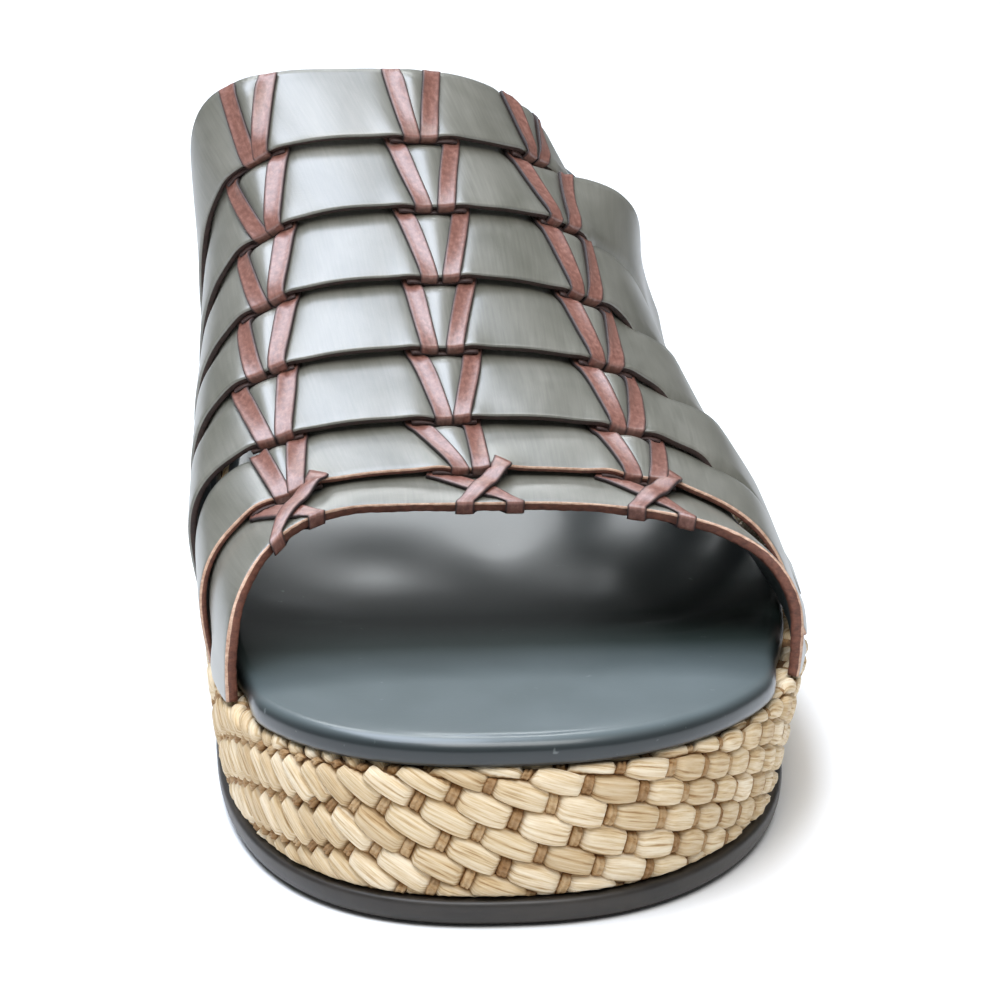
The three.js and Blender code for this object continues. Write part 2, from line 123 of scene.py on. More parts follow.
# How far the legs of a V stand from the column on strap 1 to 6: medial leg top and foot, lateral leg top
# and foot
V_LEGS = {
    "lace_medial": [[-1.8, -0.9, 4.8, 0.9], [-5.8, -1.8, 3.5, 0.7], [-5.8, -2.6, 2.3, 0.3],
                    [-5.8, -2.6, 1.9, 0.9], [-5.8, -2.6, 2.2, 0.3], [-4.2, -1.9, 2.0, 0.3]],
    "lace_centre": [[-3.0, -1.7, 3.3, 1.0], [-4.1, -1.8, 4.7, 1.8], [-4.7, -1.8, 4.1, 1.6],
                    [-4.3, -2.8, 4.0, 1.2], [-4.6, -1.8, 3.8, 1.0], [-5.7, -3.0, 2.3, 0.2]],
    "lace_lateral": [[-5.0, -1.4, 3.6, 1.6], [-4.0, -1.3, 6.0, 2.6], [-2.5, -0.8, 5.5, 2.4],
                     [-2.3, -1.2, 5.6, 1.8], [-2.9, -1.8, 4.4, 0.9], [-4.0, -2.5, 4.3, 1.2]],
}
# The X tie's strands: mm from the column at the strap behind and at the toe edge
TIE_STRANDS = {"under": (-6.2, 4.8), "over": (3.2, -2.8)}
LACE_WIDTH = 2.9
LACE_THICK = 0.9
LACE_WRAP = 0.45
LEG_CROSS = 0.12


def along(table, x):
    """A smooth curve through a table of x and y: cubic pieces whose slope at a point is that of the line
    between its neighbours."""
    xs, ys = np.asarray(table, float).T
    slope = np.empty_like(ys)
    slope[1:-1] = (ys[2:] - ys[:-2]) / (xs[2:] - xs[:-2])
    slope[0] = (ys[1] - ys[0]) / (xs[1] - xs[0])
    slope[-1] = (ys[-1] - ys[-2]) / (xs[-1] - xs[-2])
    x = np.clip(x, xs[0], xs[-1])
    i = np.clip(np.searchsorted(xs, x) - 1, 0, len(xs) - 2)
    h = xs[i + 1] - xs[i]
    t = (x - xs[i]) / h
    s = 1 - t
    start = ys[i] * s * s * (1 + 2 * t) + slope[i] * h * t * s * s
    return start + ys[i + 1] * t * t * (1 + 2 * s) - slope[i + 1] * h * t * t * s


def smooth(start, end, x):
    """A step from 0 to 1 between start and end with level ends: 3 t squared less 2 t cubed."""
    t = np.clip((x - start) / (end - start), 0, 1)
    return t * t * (3 - 2 * t)


def rim(d):
    """Height of the straw wall's rim at d."""
    return along(RIM, d)


def side_points(side, toe_steps, side_steps, heel_steps):
    """d and half width down one side: a superellipse round the toe, the table of widths, and a superellipse
    round the heel."""
    depth, toe, heel = TOE_DEPTH[side], 2 / TOE_POWER[side], 2 / HEEL_POWER
    heel_start = LENGTH - HEEL_DEPTH
    widest, narrowest = HALF_WIDTH[side][0][1], HALF_WIDTH[side][-1][1]
    a = np.linspace(0, np.pi / 2, toe_steps, endpoint=False)
    b = np.linspace(0, np.pi / 2, heel_steps + 1)
    reach = np.cos(b).clip(0) ** heel
    reach[-1] = 0
    d_side = np.linspace(depth, heel_start, side_steps, endpoint=False)
    d_toe = depth * (1 - np.cos(a) ** toe)
    d_heel = heel_start + HEEL_DEPTH * np.sin(b) ** heel
    d = np.concatenate([d_toe, d_side, d_heel])
    w = np.concatenate([widest * np.sin(a) ** toe, along(HALF_WIDTH[side], d_side), narrowest * reach])
    return d, w


def half_width(d, side):
    """Half width of the sole at d on one side: a superellipse at the toe, then the table of widths."""
    depth, power = TOE_DEPTH[side], TOE_POWER[side]
    toe = HALF_WIDTH[side][0][1] * (1 - np.clip((depth - d) / depth, 0, 1) ** power) ** (1 / power)
    return np.where(d < depth, toe, along(HALF_WIDTH[side], d))


def lean(d, side, share):
    """How far the wall leans in at d: full at the floor, none at the rim."""
    return along(LEAN[side], d) * (1 - share)


def side_line(side, inset, height, steps):
    """One side of the outline, toe to heel, drawn in along its own normal by inset(d) and lifted to
    height(d)."""
    d, w = side_points(side, *steps)
    slope_d, slope_w = np.gradient(d), np.gradient(w)
    slope_d[0], slope_w[-1] = 0, -1
    slope_d[-1] = 0
    size = np.hypot(slope_d, slope_w)
    reach = inset(d)
    inner_d = d + reach * slope_w / size
    inner_w = np.maximum(w - reach * slope_d / size, 0)
    inner_w[[0, -1]] = 0
    sign = -1 if side == "medial" else 1
    return np.stack([sign * inner_w, inner_d - LENGTH / 2, height(inner_d)], axis=-1)


def grid_faces(rows, columns, closed):
    """Quads of a grid of points, with the last column joined to the first where it is closed."""
    index = np.arange(rows * columns).reshape(rows, columns)
    right = np.roll(index, -1, axis=1) if closed else index[:, 1:]
    left = index if closed else index[:, :-1]
    return np.stack([left[:-1], right[:-1], right[1:], left[1:]], axis=-1).reshape(-1, 4)


# Edges shorter than this, in metres, are taken out where points are merged
SHORTEST_EDGE = 1e-7


def make_piece(name, points, faces, uv=None, picks=None, materials=(), merge=0.0, values=None, turn=False):
    """A mesh object from points in millimetres and faces. uv and values have a row for each point, and picks
    for each face. Points within merge mm become one, and merge or turn makes the faces point outward."""
    mesh = bpy.data.meshes.new(name)
    mesh.from_pydata((points.reshape(-1, 3) * MM).tolist(), [], [list(face) for face in faces])
    corners = np.empty(len(mesh.loops), dtype=np.int32)
    mesh.loops.foreach_get("vertex_index", corners)
    if uv is not None:
        layer = mesh.uv_layers.new(name="UVMap")
        layer.data.foreach_set("uv", uv.reshape(-1, 2)[corners].ravel())
    for key, value in (values or {}).items():
        mesh.attributes.new(key, "FLOAT", "POINT").data.foreach_set("value", value.ravel())
    for material in materials:
        mesh.materials.append(material)
    if picks is not None:
        mesh.polygons.foreach_set("material_index", np.asarray(picks, dtype=np.int32))
    mesh.polygons.foreach_set("use_smooth", np.ones(len(mesh.polygons), dtype=bool))
    if merge or turn:
        work = bmesh.new()
        work.from_mesh(mesh)
        if merge:
            bmesh.ops.remove_doubles(work, verts=work.verts, dist=merge * MM)
            bmesh.ops.dissolve_degenerate(work, edges=work.edges, dist=SHORTEST_EDGE)
        bmesh.ops.recalc_face_normals(work, faces=work.faces)
        work.to_mesh(mesh)
        work.free()
    mesh.update()
    piece = bpy.data.objects.new(name, mesh)
    bpy.context.scene.collection.objects.link(piece)
    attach(piece, BODY)
    return piece


# Finishes


def grey(level):
    """One level in all four places of a ramp's colour, for ramps that drive a plain value."""
    return (level,) * 4


def srgb(*levels):
    """A colour given in 0 to 255 screen levels, as linear light."""
    level = np.array(levels) / 255
    linear = np.where(level <= 0.04045, level / 12.92, ((level + 0.055) / 1.055) ** 2.4)
    return (*linear.tolist(), 1.0)


# Places of the colour sockets on a mix node
MIX_FIRST, MIX_SECOND, MIX_RESULT = 6, 7, 2


class Finish:
    """A principled material and short helpers for its texture nodes."""

    def __init__(self, name, uv):
        self.material = bpy.data.materials.new(name)
        self.material.use_nodes = True
        self.nodes = self.material.node_tree.nodes
        self.links = self.material.node_tree.links
        self.shader = self.nodes["Principled BSDF"]
        self.place = self.nodes.new("ShaderNodeTexCoord").outputs["UV" if uv else "Object"]

    def set(self, **values):
        """Constants on the shader's own sockets, with _ for a space."""
        for name, value in values.items():
            self.shader.inputs[name.replace("_", " ")].default_value = value

    def mapped(self, scale):
        """The coordinates times a scale."""
        node = self.nodes.new("ShaderNodeMapping")
        node.inputs["Scale"].default_value = scale
        self.links.new(self.place, node.inputs["Vector"])
        return node.outputs["Vector"]

    def noise(self, scale, detail=4.0, rough=0.55, warp=0.0):
        """Cloudy noise, with as many waves per unit as the scale says."""
        node = self.nodes.new("ShaderNodeTexNoise")
        node.inputs["Scale"].default_value = 1.0
        node.inputs["Detail"].default_value = detail
        node.inputs["Roughness"].default_value = rough
        node.inputs["Distortion"].default_value = warp
        self.links.new(self.mapped(scale), node.inputs["Vector"])
        return node.outputs["Fac"]

    def cells(self, scale):
        """Distance to the nearest of many scattered points."""
        node = self.nodes.new("ShaderNodeTexVoronoi")
        node.inputs["Scale"].default_value = 1.0
        self.links.new(self.mapped(scale), node.inputs["Vector"])
        return node.outputs["Distance"]

    def attribute(self, name):
        """A value that the mesh holds for each point."""
        node = self.nodes.new("ShaderNodeAttribute")
        node.attribute_name = name
        return node.outputs["Fac"]

    def ramp(self, source, stops):
        """Colours at positions 0 to 1 of a source value."""
        node = self.nodes.new("ShaderNodeValToRGB")
        elements = node.color_ramp.elements
        while len(elements) < len(stops):
            elements.new(0.5)
        for element, (position, colour) in zip(elements, stops):
            element.position = position
            element.color = colour
        self.links.new(source, node.inputs["Fac"])
        return node.outputs["Color"]

    def scaled(self, source, low, high, start=0.0, end=1.0):
        """A source value's range from start to end, spread from low to high."""
        node = self.nodes.new("ShaderNodeMapRange")
        node.inputs["From Min"].default_value = start
        node.inputs["From Max"].default_value = end
        node.inputs["To Min"].default_value = low
        node.inputs["To Max"].default_value = high
        self.links.new(source, node.inputs["Value"])
        return node.outputs["Result"]

    def mixed(self, share, first, second, mode="MIX"):
        """Two colours mixed or multiplied by a share, each a socket or a constant."""
        node = self.nodes.new("ShaderNodeMix")
        node.data_type = "RGBA"
        node.blend_type = mode
        if isinstance(share, float):
            node.inputs[0].default_value = share
        else:
            self.links.new(share, node.inputs[0])
        for slot, value in ((MIX_FIRST, first), (MIX_SECOND, second)):
            if isinstance(value, tuple):
                node.inputs[slot].default_value = value
            else:
                self.links.new(value, node.inputs[slot])
        return node.outputs[MIX_RESULT]

    def axis(self, name):
        """One axis of the coordinates."""
        node = self.nodes.new("ShaderNodeSeparateXYZ")
        self.links.new(self.place, node.inputs["Vector"])
        return node.outputs[name]

    def bump(self, source, strength, depth):
        """A bump of a depth in mm, added to those already there."""
        node = self.nodes.new("ShaderNodeBump")
        node.inputs["Strength"].default_value = strength
        node.inputs["Distance"].default_value = depth * MM
        last = self.shader.inputs["Normal"]
        if last.is_linked:
            self.links.new(last.links[0].from_socket, node.inputs["Normal"])
        self.links.new(source, node.inputs["Height"])
        self.links.new(node.outputs["Normal"], last)

    def drive(self, name, source):
        """A source value on one of the shader's sockets."""
        self.links.new(source, self.shader.inputs[name])

    def colour(self, source):
        """A source on the base colour."""
        self.drive("Base Color", source)

    def roughness(self, source):
        """A source on the roughness."""
        self.drive("Roughness", source)


def strap_leather():
    """Brushed olive-grey leather: fine streaks across the strap, soft cloudy patches, a fine grain and a
    satin gloss. UV is in centimetres, along the arch and across the strap."""
    f = Finish("strap leather", uv=True)
    streak = f.noise((24, 1.1, 1), detail=5, rough=0.62)
    cloud = f.noise((1.1, 0.7, 1), detail=3, warp=0.4)
    tint = f.ramp(streak, [
        (0.25, srgb(102, 101, 93)), (0.5, srgb(112, 110, 102)), (0.78, srgb(122, 120, 111))])
    patch = f.ramp(cloud, [(0.3, srgb(212, 213, 205)), (0.65, srgb(255, 255, 252))])
    f.colour(f.mixed(1.0, tint, patch, "MULTIPLY"))
    f.roughness(f.scaled(streak, 0.35, 0.41, 0.3, 0.7))
    f.bump(streak, 0.05, 0.1)
    f.bump(f.cells((30, 30, 30)), 0.08, 0.08)
    f.set(Specular_IOR_Level=0.9, Coat_Weight=0.12, Coat_Roughness=0.28)
    return f.material


def cut_edge(name, low, high):
    """A burnished cut edge: fibrous brown, streaked along the edge. Object coordinates."""
    f = Finish(name, uv=False)
    fibre = f.noise((900, 900, 1500), detail=4, rough=0.65)
    f.colour(f.ramp(fibre, [(0.3, low), (0.7, high)]))
    f.roughness(f.scaled(fibre, 0.5, 0.75))
    f.bump(fibre, 0.5, 0.25)
    return f.material


def lining_leather():
    """Dark slate lining with a fine pebbled grain and a soft gloss. Object coordinates."""
    f = Finish("lining leather", uv=False)
    cloud = f.noise((60, 60, 60), detail=4)
    f.colour(f.ramp(cloud, [(0.35, srgb(40, 46, 46)), (0.7, srgb(58, 65, 65))]))
    f.roughness(f.scaled(cloud, 0.38, 0.5))
    f.bump(f.cells((1400, 1400, 1400)), 0.2, 0.12)
    return f.material


def lace_leather():
    """Rose-brown lace, mottled, with sides that are dark partly as a burnished edge and partly as painted
    shade, and fine creases. UV is 0 to 1 across, cm along.
    """
    f = Finish("lace leather", uv=True)
    fleck = f.noise((4, 8, 1), detail=5, rough=0.65)
    tint = f.ramp(fleck, [(0.3, srgb(94, 57, 47)), (0.52, srgb(120, 80, 68)), (0.78, srgb(150, 110, 98))])
    across = f.axis("X")
    # The sides are darkened: partly a dark burnished edge, partly painted shade
    side = f.ramp(across, [(0.02, srgb(70, 45, 38)), (0.15, srgb(255, 255, 255)),
                           (0.85, srgb(255, 255, 255)), (0.98, srgb(80, 52, 44))])
    f.colour(f.mixed(1.0, tint, side, "MULTIPLY"))
    f.roughness(f.ramp(across, [
        (0.02, grey(0.8)), (0.16, grey(0.42)), (0.84, grey(0.42)), (0.98, grey(0.8))]))
    f.bump(f.noise((7, 22, 1), detail=3), 0.25, 0.12)
    f.set(Specular_IOR_Level=0.7, Coat_Weight=0.15, Coat_Roughness=0.3)
    return f.material


# The band of painted shade under the toe straps, as object y in metres
SHADE_BAND = (-0.102, -0.03)


def footbed_leather():
    """Smooth slate leather with painted shade down its side wall and a band of painted shade, with less
    gloss, under the toe straps; a soft gloss, a faint cloudy tone, fine pores and a few pale specks. Object
    coordinates."""
    f = Finish("footbed leather", uv=False)
    cloud = f.noise((28, 20, 28), detail=4, warp=0.3)
    tint = f.ramp(cloud, [(0.3, srgb(74, 83, 83)), (0.7, srgb(92, 101, 102))])
    # Painted shade: the leather darkens, and loses gloss, over a band under the toe straps where they shade
    # it
    strap_shade = f.scaled(f.axis("Y"), 0.0, 1.0, *SHADE_BAND)
    fray_and_shade = f.ramp(strap_shade, [
        (0.0, srgb(255, 255, 255)), (0.3, srgb(112, 122, 115)),
        (0.5, srgb(60, 70, 63)), (1.0, srgb(216, 218, 218))])
    # Painted shade: darker down the side wall toward the straw
    low = f.ramp(f.attribute("side"), [(0.0, srgb(255, 255, 255)), (1.0, srgb(120, 122, 124))])
    tint = f.mixed(1.0, f.mixed(1.0, tint, fray_and_shade, "MULTIPLY"), low, "MULTIPLY")
    speck = f.ramp(f.noise((520, 420, 520), detail=2), [(0.73, (0, 0, 0, 1)), (0.8, (0.3, 0.3, 0.3, 1))])
    f.colour(f.mixed(speck, tint, srgb(150, 156, 154)))
    f.roughness(f.scaled(cloud, 0.3, 0.38))
    f.bump(f.cells((1500, 1500, 1500)), 0.05, 0.06)
    f.bump(f.noise((150, 90, 150), detail=3), 0.06, 0.3)
    gloss = f.ramp(strap_shade, [(0.0, grey(1.0)), (0.3, grey(0.3)), (0.55, grey(0.2)), (0.85, grey(1.0))])
    f.drive("Specular IOR Level", f.scaled(gloss, 0.05, 0.4))
    f.drive("Coat Weight", f.scaled(gloss, 0.0, 0.25))
    f.set(Coat_Roughness=0.16)
    return f.material


def straw(name, low, middle, high, streaks):
    """Straw: each strand has its own tone, brown fibre lines along it and painted brown shade toward its rim.
    UV goes up by 1 along and across a strand."""
    f = Finish(name, uv=True)
    fibre = f.noise((0.9, streaks, 1), detail=4, rough=0.62, warp=0.12)
    base = f.ramp(f.attribute("tone"), [(0.0, low), (0.5, middle), (1.0, high)])
    line = f.ramp(fibre, [
        (0.3, srgb(176, 148, 112)), (0.43, srgb(232, 220, 200)), (0.6, srgb(255, 255, 255))])
    # Painted shade: each strand darkens toward its rim, where it dips into the gaps
    shade = f.ramp(f.attribute("edge"), [(0.5, srgb(255, 255, 255)), (0.85, srgb(206, 182, 150)),
                                         (1.0, srgb(128, 98, 68))])
    f.colour(f.mixed(1.0, f.mixed(1.0, base, line, "MULTIPLY"), shade, "MULTIPLY"))
    f.roughness(f.scaled(fibre, 0.75, 0.55))
    f.bump(fibre, 0.7, 0.4)
    f.set(Specular_IOR_Level=0.3)
    return f.material


def straw_backing():
    """Straw between the strands, coloured dark brown as painted shade. Object coordinates."""
    f = Finish("straw backing", uv=False)
    fibre = f.noise((500, 500, 1400), detail=4)
    f.colour(f.ramp(fibre, [(0.3, srgb(84, 58, 34)), (0.7, srgb(146, 112, 74))]))
    f.roughness(f.scaled(fibre, 0.75, 0.9))
    f.bump(fibre, 0.6, 0.4)
    return f.material


def sole_rubber():
    """Charcoal rubber with a soft sheen and a faint moulded grain. Object coordinates."""
    f = Finish("sole rubber", uv=False)
    cloud = f.noise((120, 120, 260), detail=4)
    f.colour(f.ramp(cloud, [(0.3, srgb(30, 27, 24)), (0.7, srgb(48, 43, 38))]))
    f.roughness(f.scaled(cloud, 0.38, 0.55))
    f.bump(f.noise((1300, 1300, 1300), detail=2), 0.15, 0.15)
    return f.material


LEATHER = strap_leather()
# The same brown cut edge darkened as painted shade, for the straps whose front edges lie in the shadowed gaps
EDGE_SHADED = cut_edge("dark cut edge", srgb(34, 24, 20), srgb(62, 43, 36))
EDGE_BROWN = cut_edge("brown cut edge", srgb(72, 41, 31), srgb(118, 73, 56))
# A pale corner along the top of the brown edges: a painted highlight
EDGE_PALE = cut_edge("pale cut edge", srgb(150, 112, 90), srgb(204, 172, 148))
LINING = lining_leather()
LACE = lace_leather()
FOOTBED = footbed_leather()
STRAND = straw("straw strand", srgb(199, 178, 145), srgb(215, 197, 166), srgb(229, 215, 190), 9)
TIE = straw("straw tie", srgb(150, 118, 82), srgb(172, 142, 104), srgb(192, 166, 130), 4)
BACKING = straw_backing()
RUBBER = sole_rubber()


# Straps

# The table of arches: rows in k from before the toe edge to past the back edge, columns in u, and the steps
# of the curve that they are taken from
ARCH_STEP = 0.05
ARCH_K = np.arange(-12, 153) * ARCH_STEP
ARCH_U = np.linspace(0, 1, 401)
ARCH_FINE = 1201
# Just over one cell, which keeps a place inside the table's last cell
LAST_CELL = 1.001
TINY = 1e-9
# Steps in u and k over which the surface's direction is taken
NORMAL_U = 0.012
NORMAL_K = 0.2


def arch_table():
    """Points of every arch, one row per k and one column per share u of its length from the medial foot.

    An arch is a superellipse from the medial rim up to the crown and down to the lateral rim. Half way up it
    is pushed out on the medial side; on the lateral side it is drawn in and kicks out again at its foot. Its
    foot-to-crown run in d follows the square of the cosine. Rows between edges are blended.
    """
    i = np.clip(np.floor(ARCH_K + TINY).astype(int), 0, len(EDGES) - 2)
    f = (ARCH_K - i)[:, None]
    rows = EDGES[i] * (1 - f) + EDGES[i + 1] * f
    (crown_d, crown_z, crown_x, medial_d, lateral_d,
     medial_n, lateral_n, medial_out, waist) = rows.T[..., None]
    a = np.linspace(0, np.pi, ARCH_FINE)
    c, s = np.cos(a), np.abs(np.sin(a))
    medial = c > 0
    power = np.where(medial, 2 / medial_n, 2 / lateral_n)
    foot_d = np.where(medial, medial_d, lateral_d)
    medial_x = STRAP_TUCK - half_width(foot_d, "medial")
    lateral_x = half_width(foot_d, "lateral") - STRAP_TUCK
    foot_x = np.where(medial, medial_x, lateral_x)
    foot_z = rim(foot_d) + STRAP_FOOT
    rise = np.where(s < TINY, 0, s) ** power
    drawn = np.where(medial, 0, waist)
    bulge = np.where(medial, -medial_out, 0) * np.abs(np.sin(2 * a))
    kick = drawn * np.maximum(1 - rise / KICK, 0) ** 2
    x = crown_x + (foot_x - drawn - crown_x) * np.abs(c) ** power + kick + bulge
    y = crown_d + (foot_d - crown_d) * c * c - LENGTH / 2
    z = foot_z + (crown_z - foot_z) * rise
    points = np.stack([x, y, z], axis=-1)
    run = np.zeros(points.shape[:2])
    run[:, 1:] = np.cumsum(np.linalg.norm(np.diff(points, axis=1), axis=-1), axis=1)
    table = np.empty((len(ARCH_K), len(ARCH_U), 3))
    for row, line, length in zip(table, points, run):
        for axis in range(3):
            row[:, axis] = np.interp(ARCH_U * length[-1], length, line[:, axis])
    return table, run[:, -1]


ARCHES, ARCH_LENGTHS = arch_table()


def arch_point(k, u):
    """The arch surface at edge k and share u, blended from the table of arches."""
    k, u = np.broadcast_arrays(k, u)
    a = np.clip((k - ARCH_K[0]) / ARCH_STEP, 0, len(ARCH_K) - LAST_CELL)
    b = np.clip(u, 0, 1) * (len(ARCH_U) - LAST_CELL)
    i, j = a.astype(int), b.astype(int)
    f, g = (a - i)[..., None], (b - j)[..., None]
    near = ARCHES[i, j] * (1 - g) + ARCHES[i, j + 1] * g
    far = ARCHES[i + 1, j] * (1 - g) + ARCHES[i + 1, j + 1] * g
    return near * (1 - f) + far * f


def arch_length(k):
    """Length of the arch at edge k."""
    return np.interp(k, ARCH_K, ARCH_LENGTHS)


def arch_normal(k, u):
    """The arch surface's outward direction: the cross product of the way along the arch and the way back."""
    along_arch = arch_point(k, np.minimum(u + NORMAL_U, 1)) - arch_point(k, np.maximum(u - NORMAL_U, 0))
    backward = arch_point(k + NORMAL_K, u) - arch_point(k - NORMAL_K, u)
    normal = np.cross(along_arch, backward)
    return normal / np.linalg.norm(normal, axis=-1, keepdims=True)


def pitch(k):
    """Distance along the crown from edge k to the next one back."""
    return float(np.hypot(*(EDGES[k + 1, :2] - EDGES[k, :2])))


# Leather thickness of strap 1 to 7, and the usual one
STRAP_LEATHER = [1.4, 1.4, 1.4, 1.4, 1.4, 1.15, 1.9]
LEATHER_THICK = 1.4
LAP = 1.75
FLANK_CLEAR = 0.1
# How far behind a strap's front edge its relief is followed, as v
V_LIMIT = 1.2
# Panels between the lace columns: their heights, and where they begin from the feet, beside a column and past
# the outer columns
EDGE_LIFT = [0.45, 0.45, 0.45, 0.45, 0.45, 0.15, 0.0]
EDGE_SAG = 0.6
SAG_SPAN = (0.78, 1.0)
PANEL_CROWN = 0.3
PANEL_ENDS = (0.06, 0.2)
PANEL_SHIFT = 0.8
PANEL_FADE = 9.0
PANEL_OUTER = 0.02
PANEL_INNER = 0.04
# The cone between the legs of a V, and the dents and rises of the leather at the legs and the bars
CONE = 1.7
CONE_SPAN = (1.0, 0.78)
CONE_NARROW = 0.1
LEG_PRESS = 0.4
LEG_PRESS_WIDE = 1.6
LEG_RAISE = 0.5
LEG_RAISE_WIDE = 2.6
BAR_PRESS = 0.5
BAR_PRESS_SHIFT = 1.0
BAR_PRESS_WIDE = 5.5
BAR_PRESS_SPAN = (0.86, 1.0)
# The ripple's height, length along, turns back and askew, shift by strap, and fade at the feet
RIPPLE = 0.12
RIPPLE_LONG = 5.5
RIPPLE_BACK = 3.0
RIPPLE_SKEW = 7.0
RIPPLE_SHIFT = (2.1, 1.3)
RIPPLE_ENDS = (0.03, 0.12)
# Where past the lateral column each strap's back edge comes out from under the next strap, as a share of the
# arch
FLIP = [0.03, 0.0, 0.01, 0.05, 0.06, 0.08, 0.1]
FLIP_REACH = 0.1
FLIP_COVER = 0.04
TUCK_FULL = 0.07
TUCK_END = (0.1, 0.16)
TUCK_REACH = 3.0
TUCK_DEEP = 1.9
TUCK_SPAN = (1.0, -2.0)
# Where the sink and the back's cover begin from the medial foot, and where the medial flank dips
SINK_FROM = (0.01, 0.06)
COVER_FROM = (0.04, 0.08)
STAY_SPAN = (0.72, 1.0)
# The strap whose back stays short on the medial flank, and how that ends at the medial column
SHORT_STRAP = 6
SHORT_OUTER = 0.03
SHORT_INNER = 0.01
# One strap's flap on the lateral side: the cut off its back, how far its corner stands out, its u and reach
FLAP_STRAP = 2
FLAP_CUT = 2.4
FLAP_OUT = 2.6
FLAP_AT = 0.765
FLAP_WIDE = 0.045
# From this strap on the cut edges are plain brown, with a pale corner that is a painted highlight; before it
# they are brown darkened as painted shade
BROWN_FROM = 6


def leg_place(n, column, side, v):
    """Offset in mm of one leg from its column on strap n at position v: straight from its foot (0) to its top
    (1). On the toe strap the legs are the strands of the X tie."""
    if n == STRAPS:
        top, foot = TIE_STRANDS["under" if side < 0 else "over"]
    else:
        medial_top, medial_foot, lateral_top, lateral_foot = V_LEGS[column][n - 1]
        top, foot = (medial_top, medial_foot) if side < 0 else (lateral_top, lateral_foot)
    return foot + (top - foot) * v


def back_columns(n):
    """Shares of the medial and the lateral lace column along strap n's back edge."""
    k = STRAPS - n + 1
    return LACE_COLUMNS["lace_medial"][k], LACE_COLUMNS["lace_lateral"][k]


def strap_relief(n, u, v):
    """How far strap n stands off its plain surface, out along its normal.

    Between the lace columns the front edge lifts, the panel crowns a little and its back sags; between the
    two legs of a V the leather rises in a cone that closes at the V's foot; it sinks under each leg and under
    the bar behind, and the front edge rises over the tops of the legs below. One strap's flap has a square
    corner. A slow ripple runs over all of it.
    """
    front = STRAPS - n
    v = np.clip(v, 0, V_LIMIT)
    within = np.minimum(v, 1)
    length = arch_length(front)
    reach = np.minimum(u, 1 - u)
    panel = smooth(*PANEL_ENDS, reach)
    cone, press, raise_up = 0.0, 0.0, 0.0
    for column, shares in LACE_COLUMNS.items():
        middle = shares[front] + (shares[front + 1] - shares[front]) * v
        offset = (u - middle) * length
        panel = panel * (1 - np.exp(-((offset + PANEL_SHIFT) / PANEL_FADE) ** 2))
        left, right = leg_place(n, column, -1, v), leg_place(n, column, 1, v)
        share = np.clip((offset - left) / np.maximum(right - left, CONE_NARROW), 0, 1)
        cone = cone + CONE * v * 4 * share * (1 - share) * smooth(*CONE_SPAN, v) * (n < STRAPS)
        bar = np.exp(-((offset + BAR_PRESS_SHIFT) / BAR_PRESS_WIDE) ** 4)
        press = press + BAR_PRESS * bar * smooth(*BAR_PRESS_SPAN, v) * (n > 1)
        for leg in (left, right):
            press = press + LEG_PRESS * np.exp(-((offset - leg) / LEG_PRESS_WIDE) ** 2) * (n < STRAPS)
        if front > 0:
            below = (u - shares[front]) * length
            for side in (-1, 1):
                near = np.exp(-((below - leg_place(n + 1, column, side, 1.0)) / LEG_RAISE_WIDE) ** 2)
                raise_up = raise_up + LEG_RAISE * near * (1 - within) ** 3
    medial, lateral = back_columns(n)
    panel = panel * smooth(medial - PANEL_OUTER, medial + PANEL_INNER, u)
    panel = panel * smooth(lateral + PANEL_OUTER, lateral - PANEL_INNER, u)
    edge_lift = EDGE_LIFT[n - 1] * panel * (1 - within) ** 2
    sag = EDGE_SAG * panel * smooth(*SAG_SPAN, v) * (1 < n < STRAPS)
    crown = PANEL_CROWN * panel * np.sin(np.pi * within)
    along_wave = np.sin(u * length / RIPPLE_LONG + RIPPLE_SHIFT[0] * n)
    back_wave = np.sin(RIPPLE_BACK * v + RIPPLE_SHIFT[1] * n + u * RIPPLE_SKEW)
    ripple = RIPPLE * along_wave * back_wave * smooth(*RIPPLE_ENDS, reach)
    corner = FLAP_OUT * np.exp(-((u - FLAP_AT) / FLAP_WIDE) ** 2) * within * (n == FLAP_STRAP)
    return edge_lift - sag + crown + cone - press + raise_up + corner + ripple


def tuck_share(n, u):
    """Where strap n's front edge runs on under the strap ahead: past the lateral column, not at the foot."""
    if n == STRAPS or STRAP_FLARE[n][1] == 0:
        return 0.0 * u
    start = LACE_COLUMNS["lace_lateral"][STRAPS - n] + FLIP[n]
    return smooth(start, start + TUCK_FULL, u) * smooth(*TUCK_END, 1 - u)


def strap_sink(n, u, v):
    """How far strap n lies below the plain surface at v.

    It sinks evenly to the back, where it slips under the next strap. On the medial flank it stays up and dips
    only at the back. Past the lateral column its back stands out instead, and its own front dips under the
    strap ahead.
    """
    medial, lateral = back_columns(n)
    medial_out, lateral_out = STRAP_FLARE[n - 1]
    depth = STRAP_THICK + STRAP_CLEAR
    start = lateral + FLIP[n - 1]
    out = smooth(start, start + FLIP_REACH, u)
    flank = smooth(medial, medial - FLARE_FULL, u)
    lap = LAP - (LAP - LEATHER_THICK - FLANK_CLEAR) * flank
    back = lap + (depth - lap - lateral_out) * out
    stay = max(LAP - depth + medial_out, 0.0) * flank
    sink = v * (back - stay) + stay * smooth(*STAY_SPAN, v)
    dip = TUCK_DEEP * tuck_share(n, u) * smooth(*TUCK_SPAN, v * pitch(STRAPS - n))
    return sink * smooth(*SINK_FROM, u) * smooth(LOUVRE_FROM, LOUVRE_FULL, 1 - u) + dip


def strap_point(n, u, v, h):
    """A point of strap n: u along the arch, v from the front edge (0) to the next strap's front edge (1), h
    out from the plain surface. The sink is taken off and the relief is added."""
    k = STRAPS - n + v
    out = h - strap_sink(n, u, v) + strap_relief(n, u, v)
    return arch_point(k, u) + arch_normal(k, u) * out[..., None]


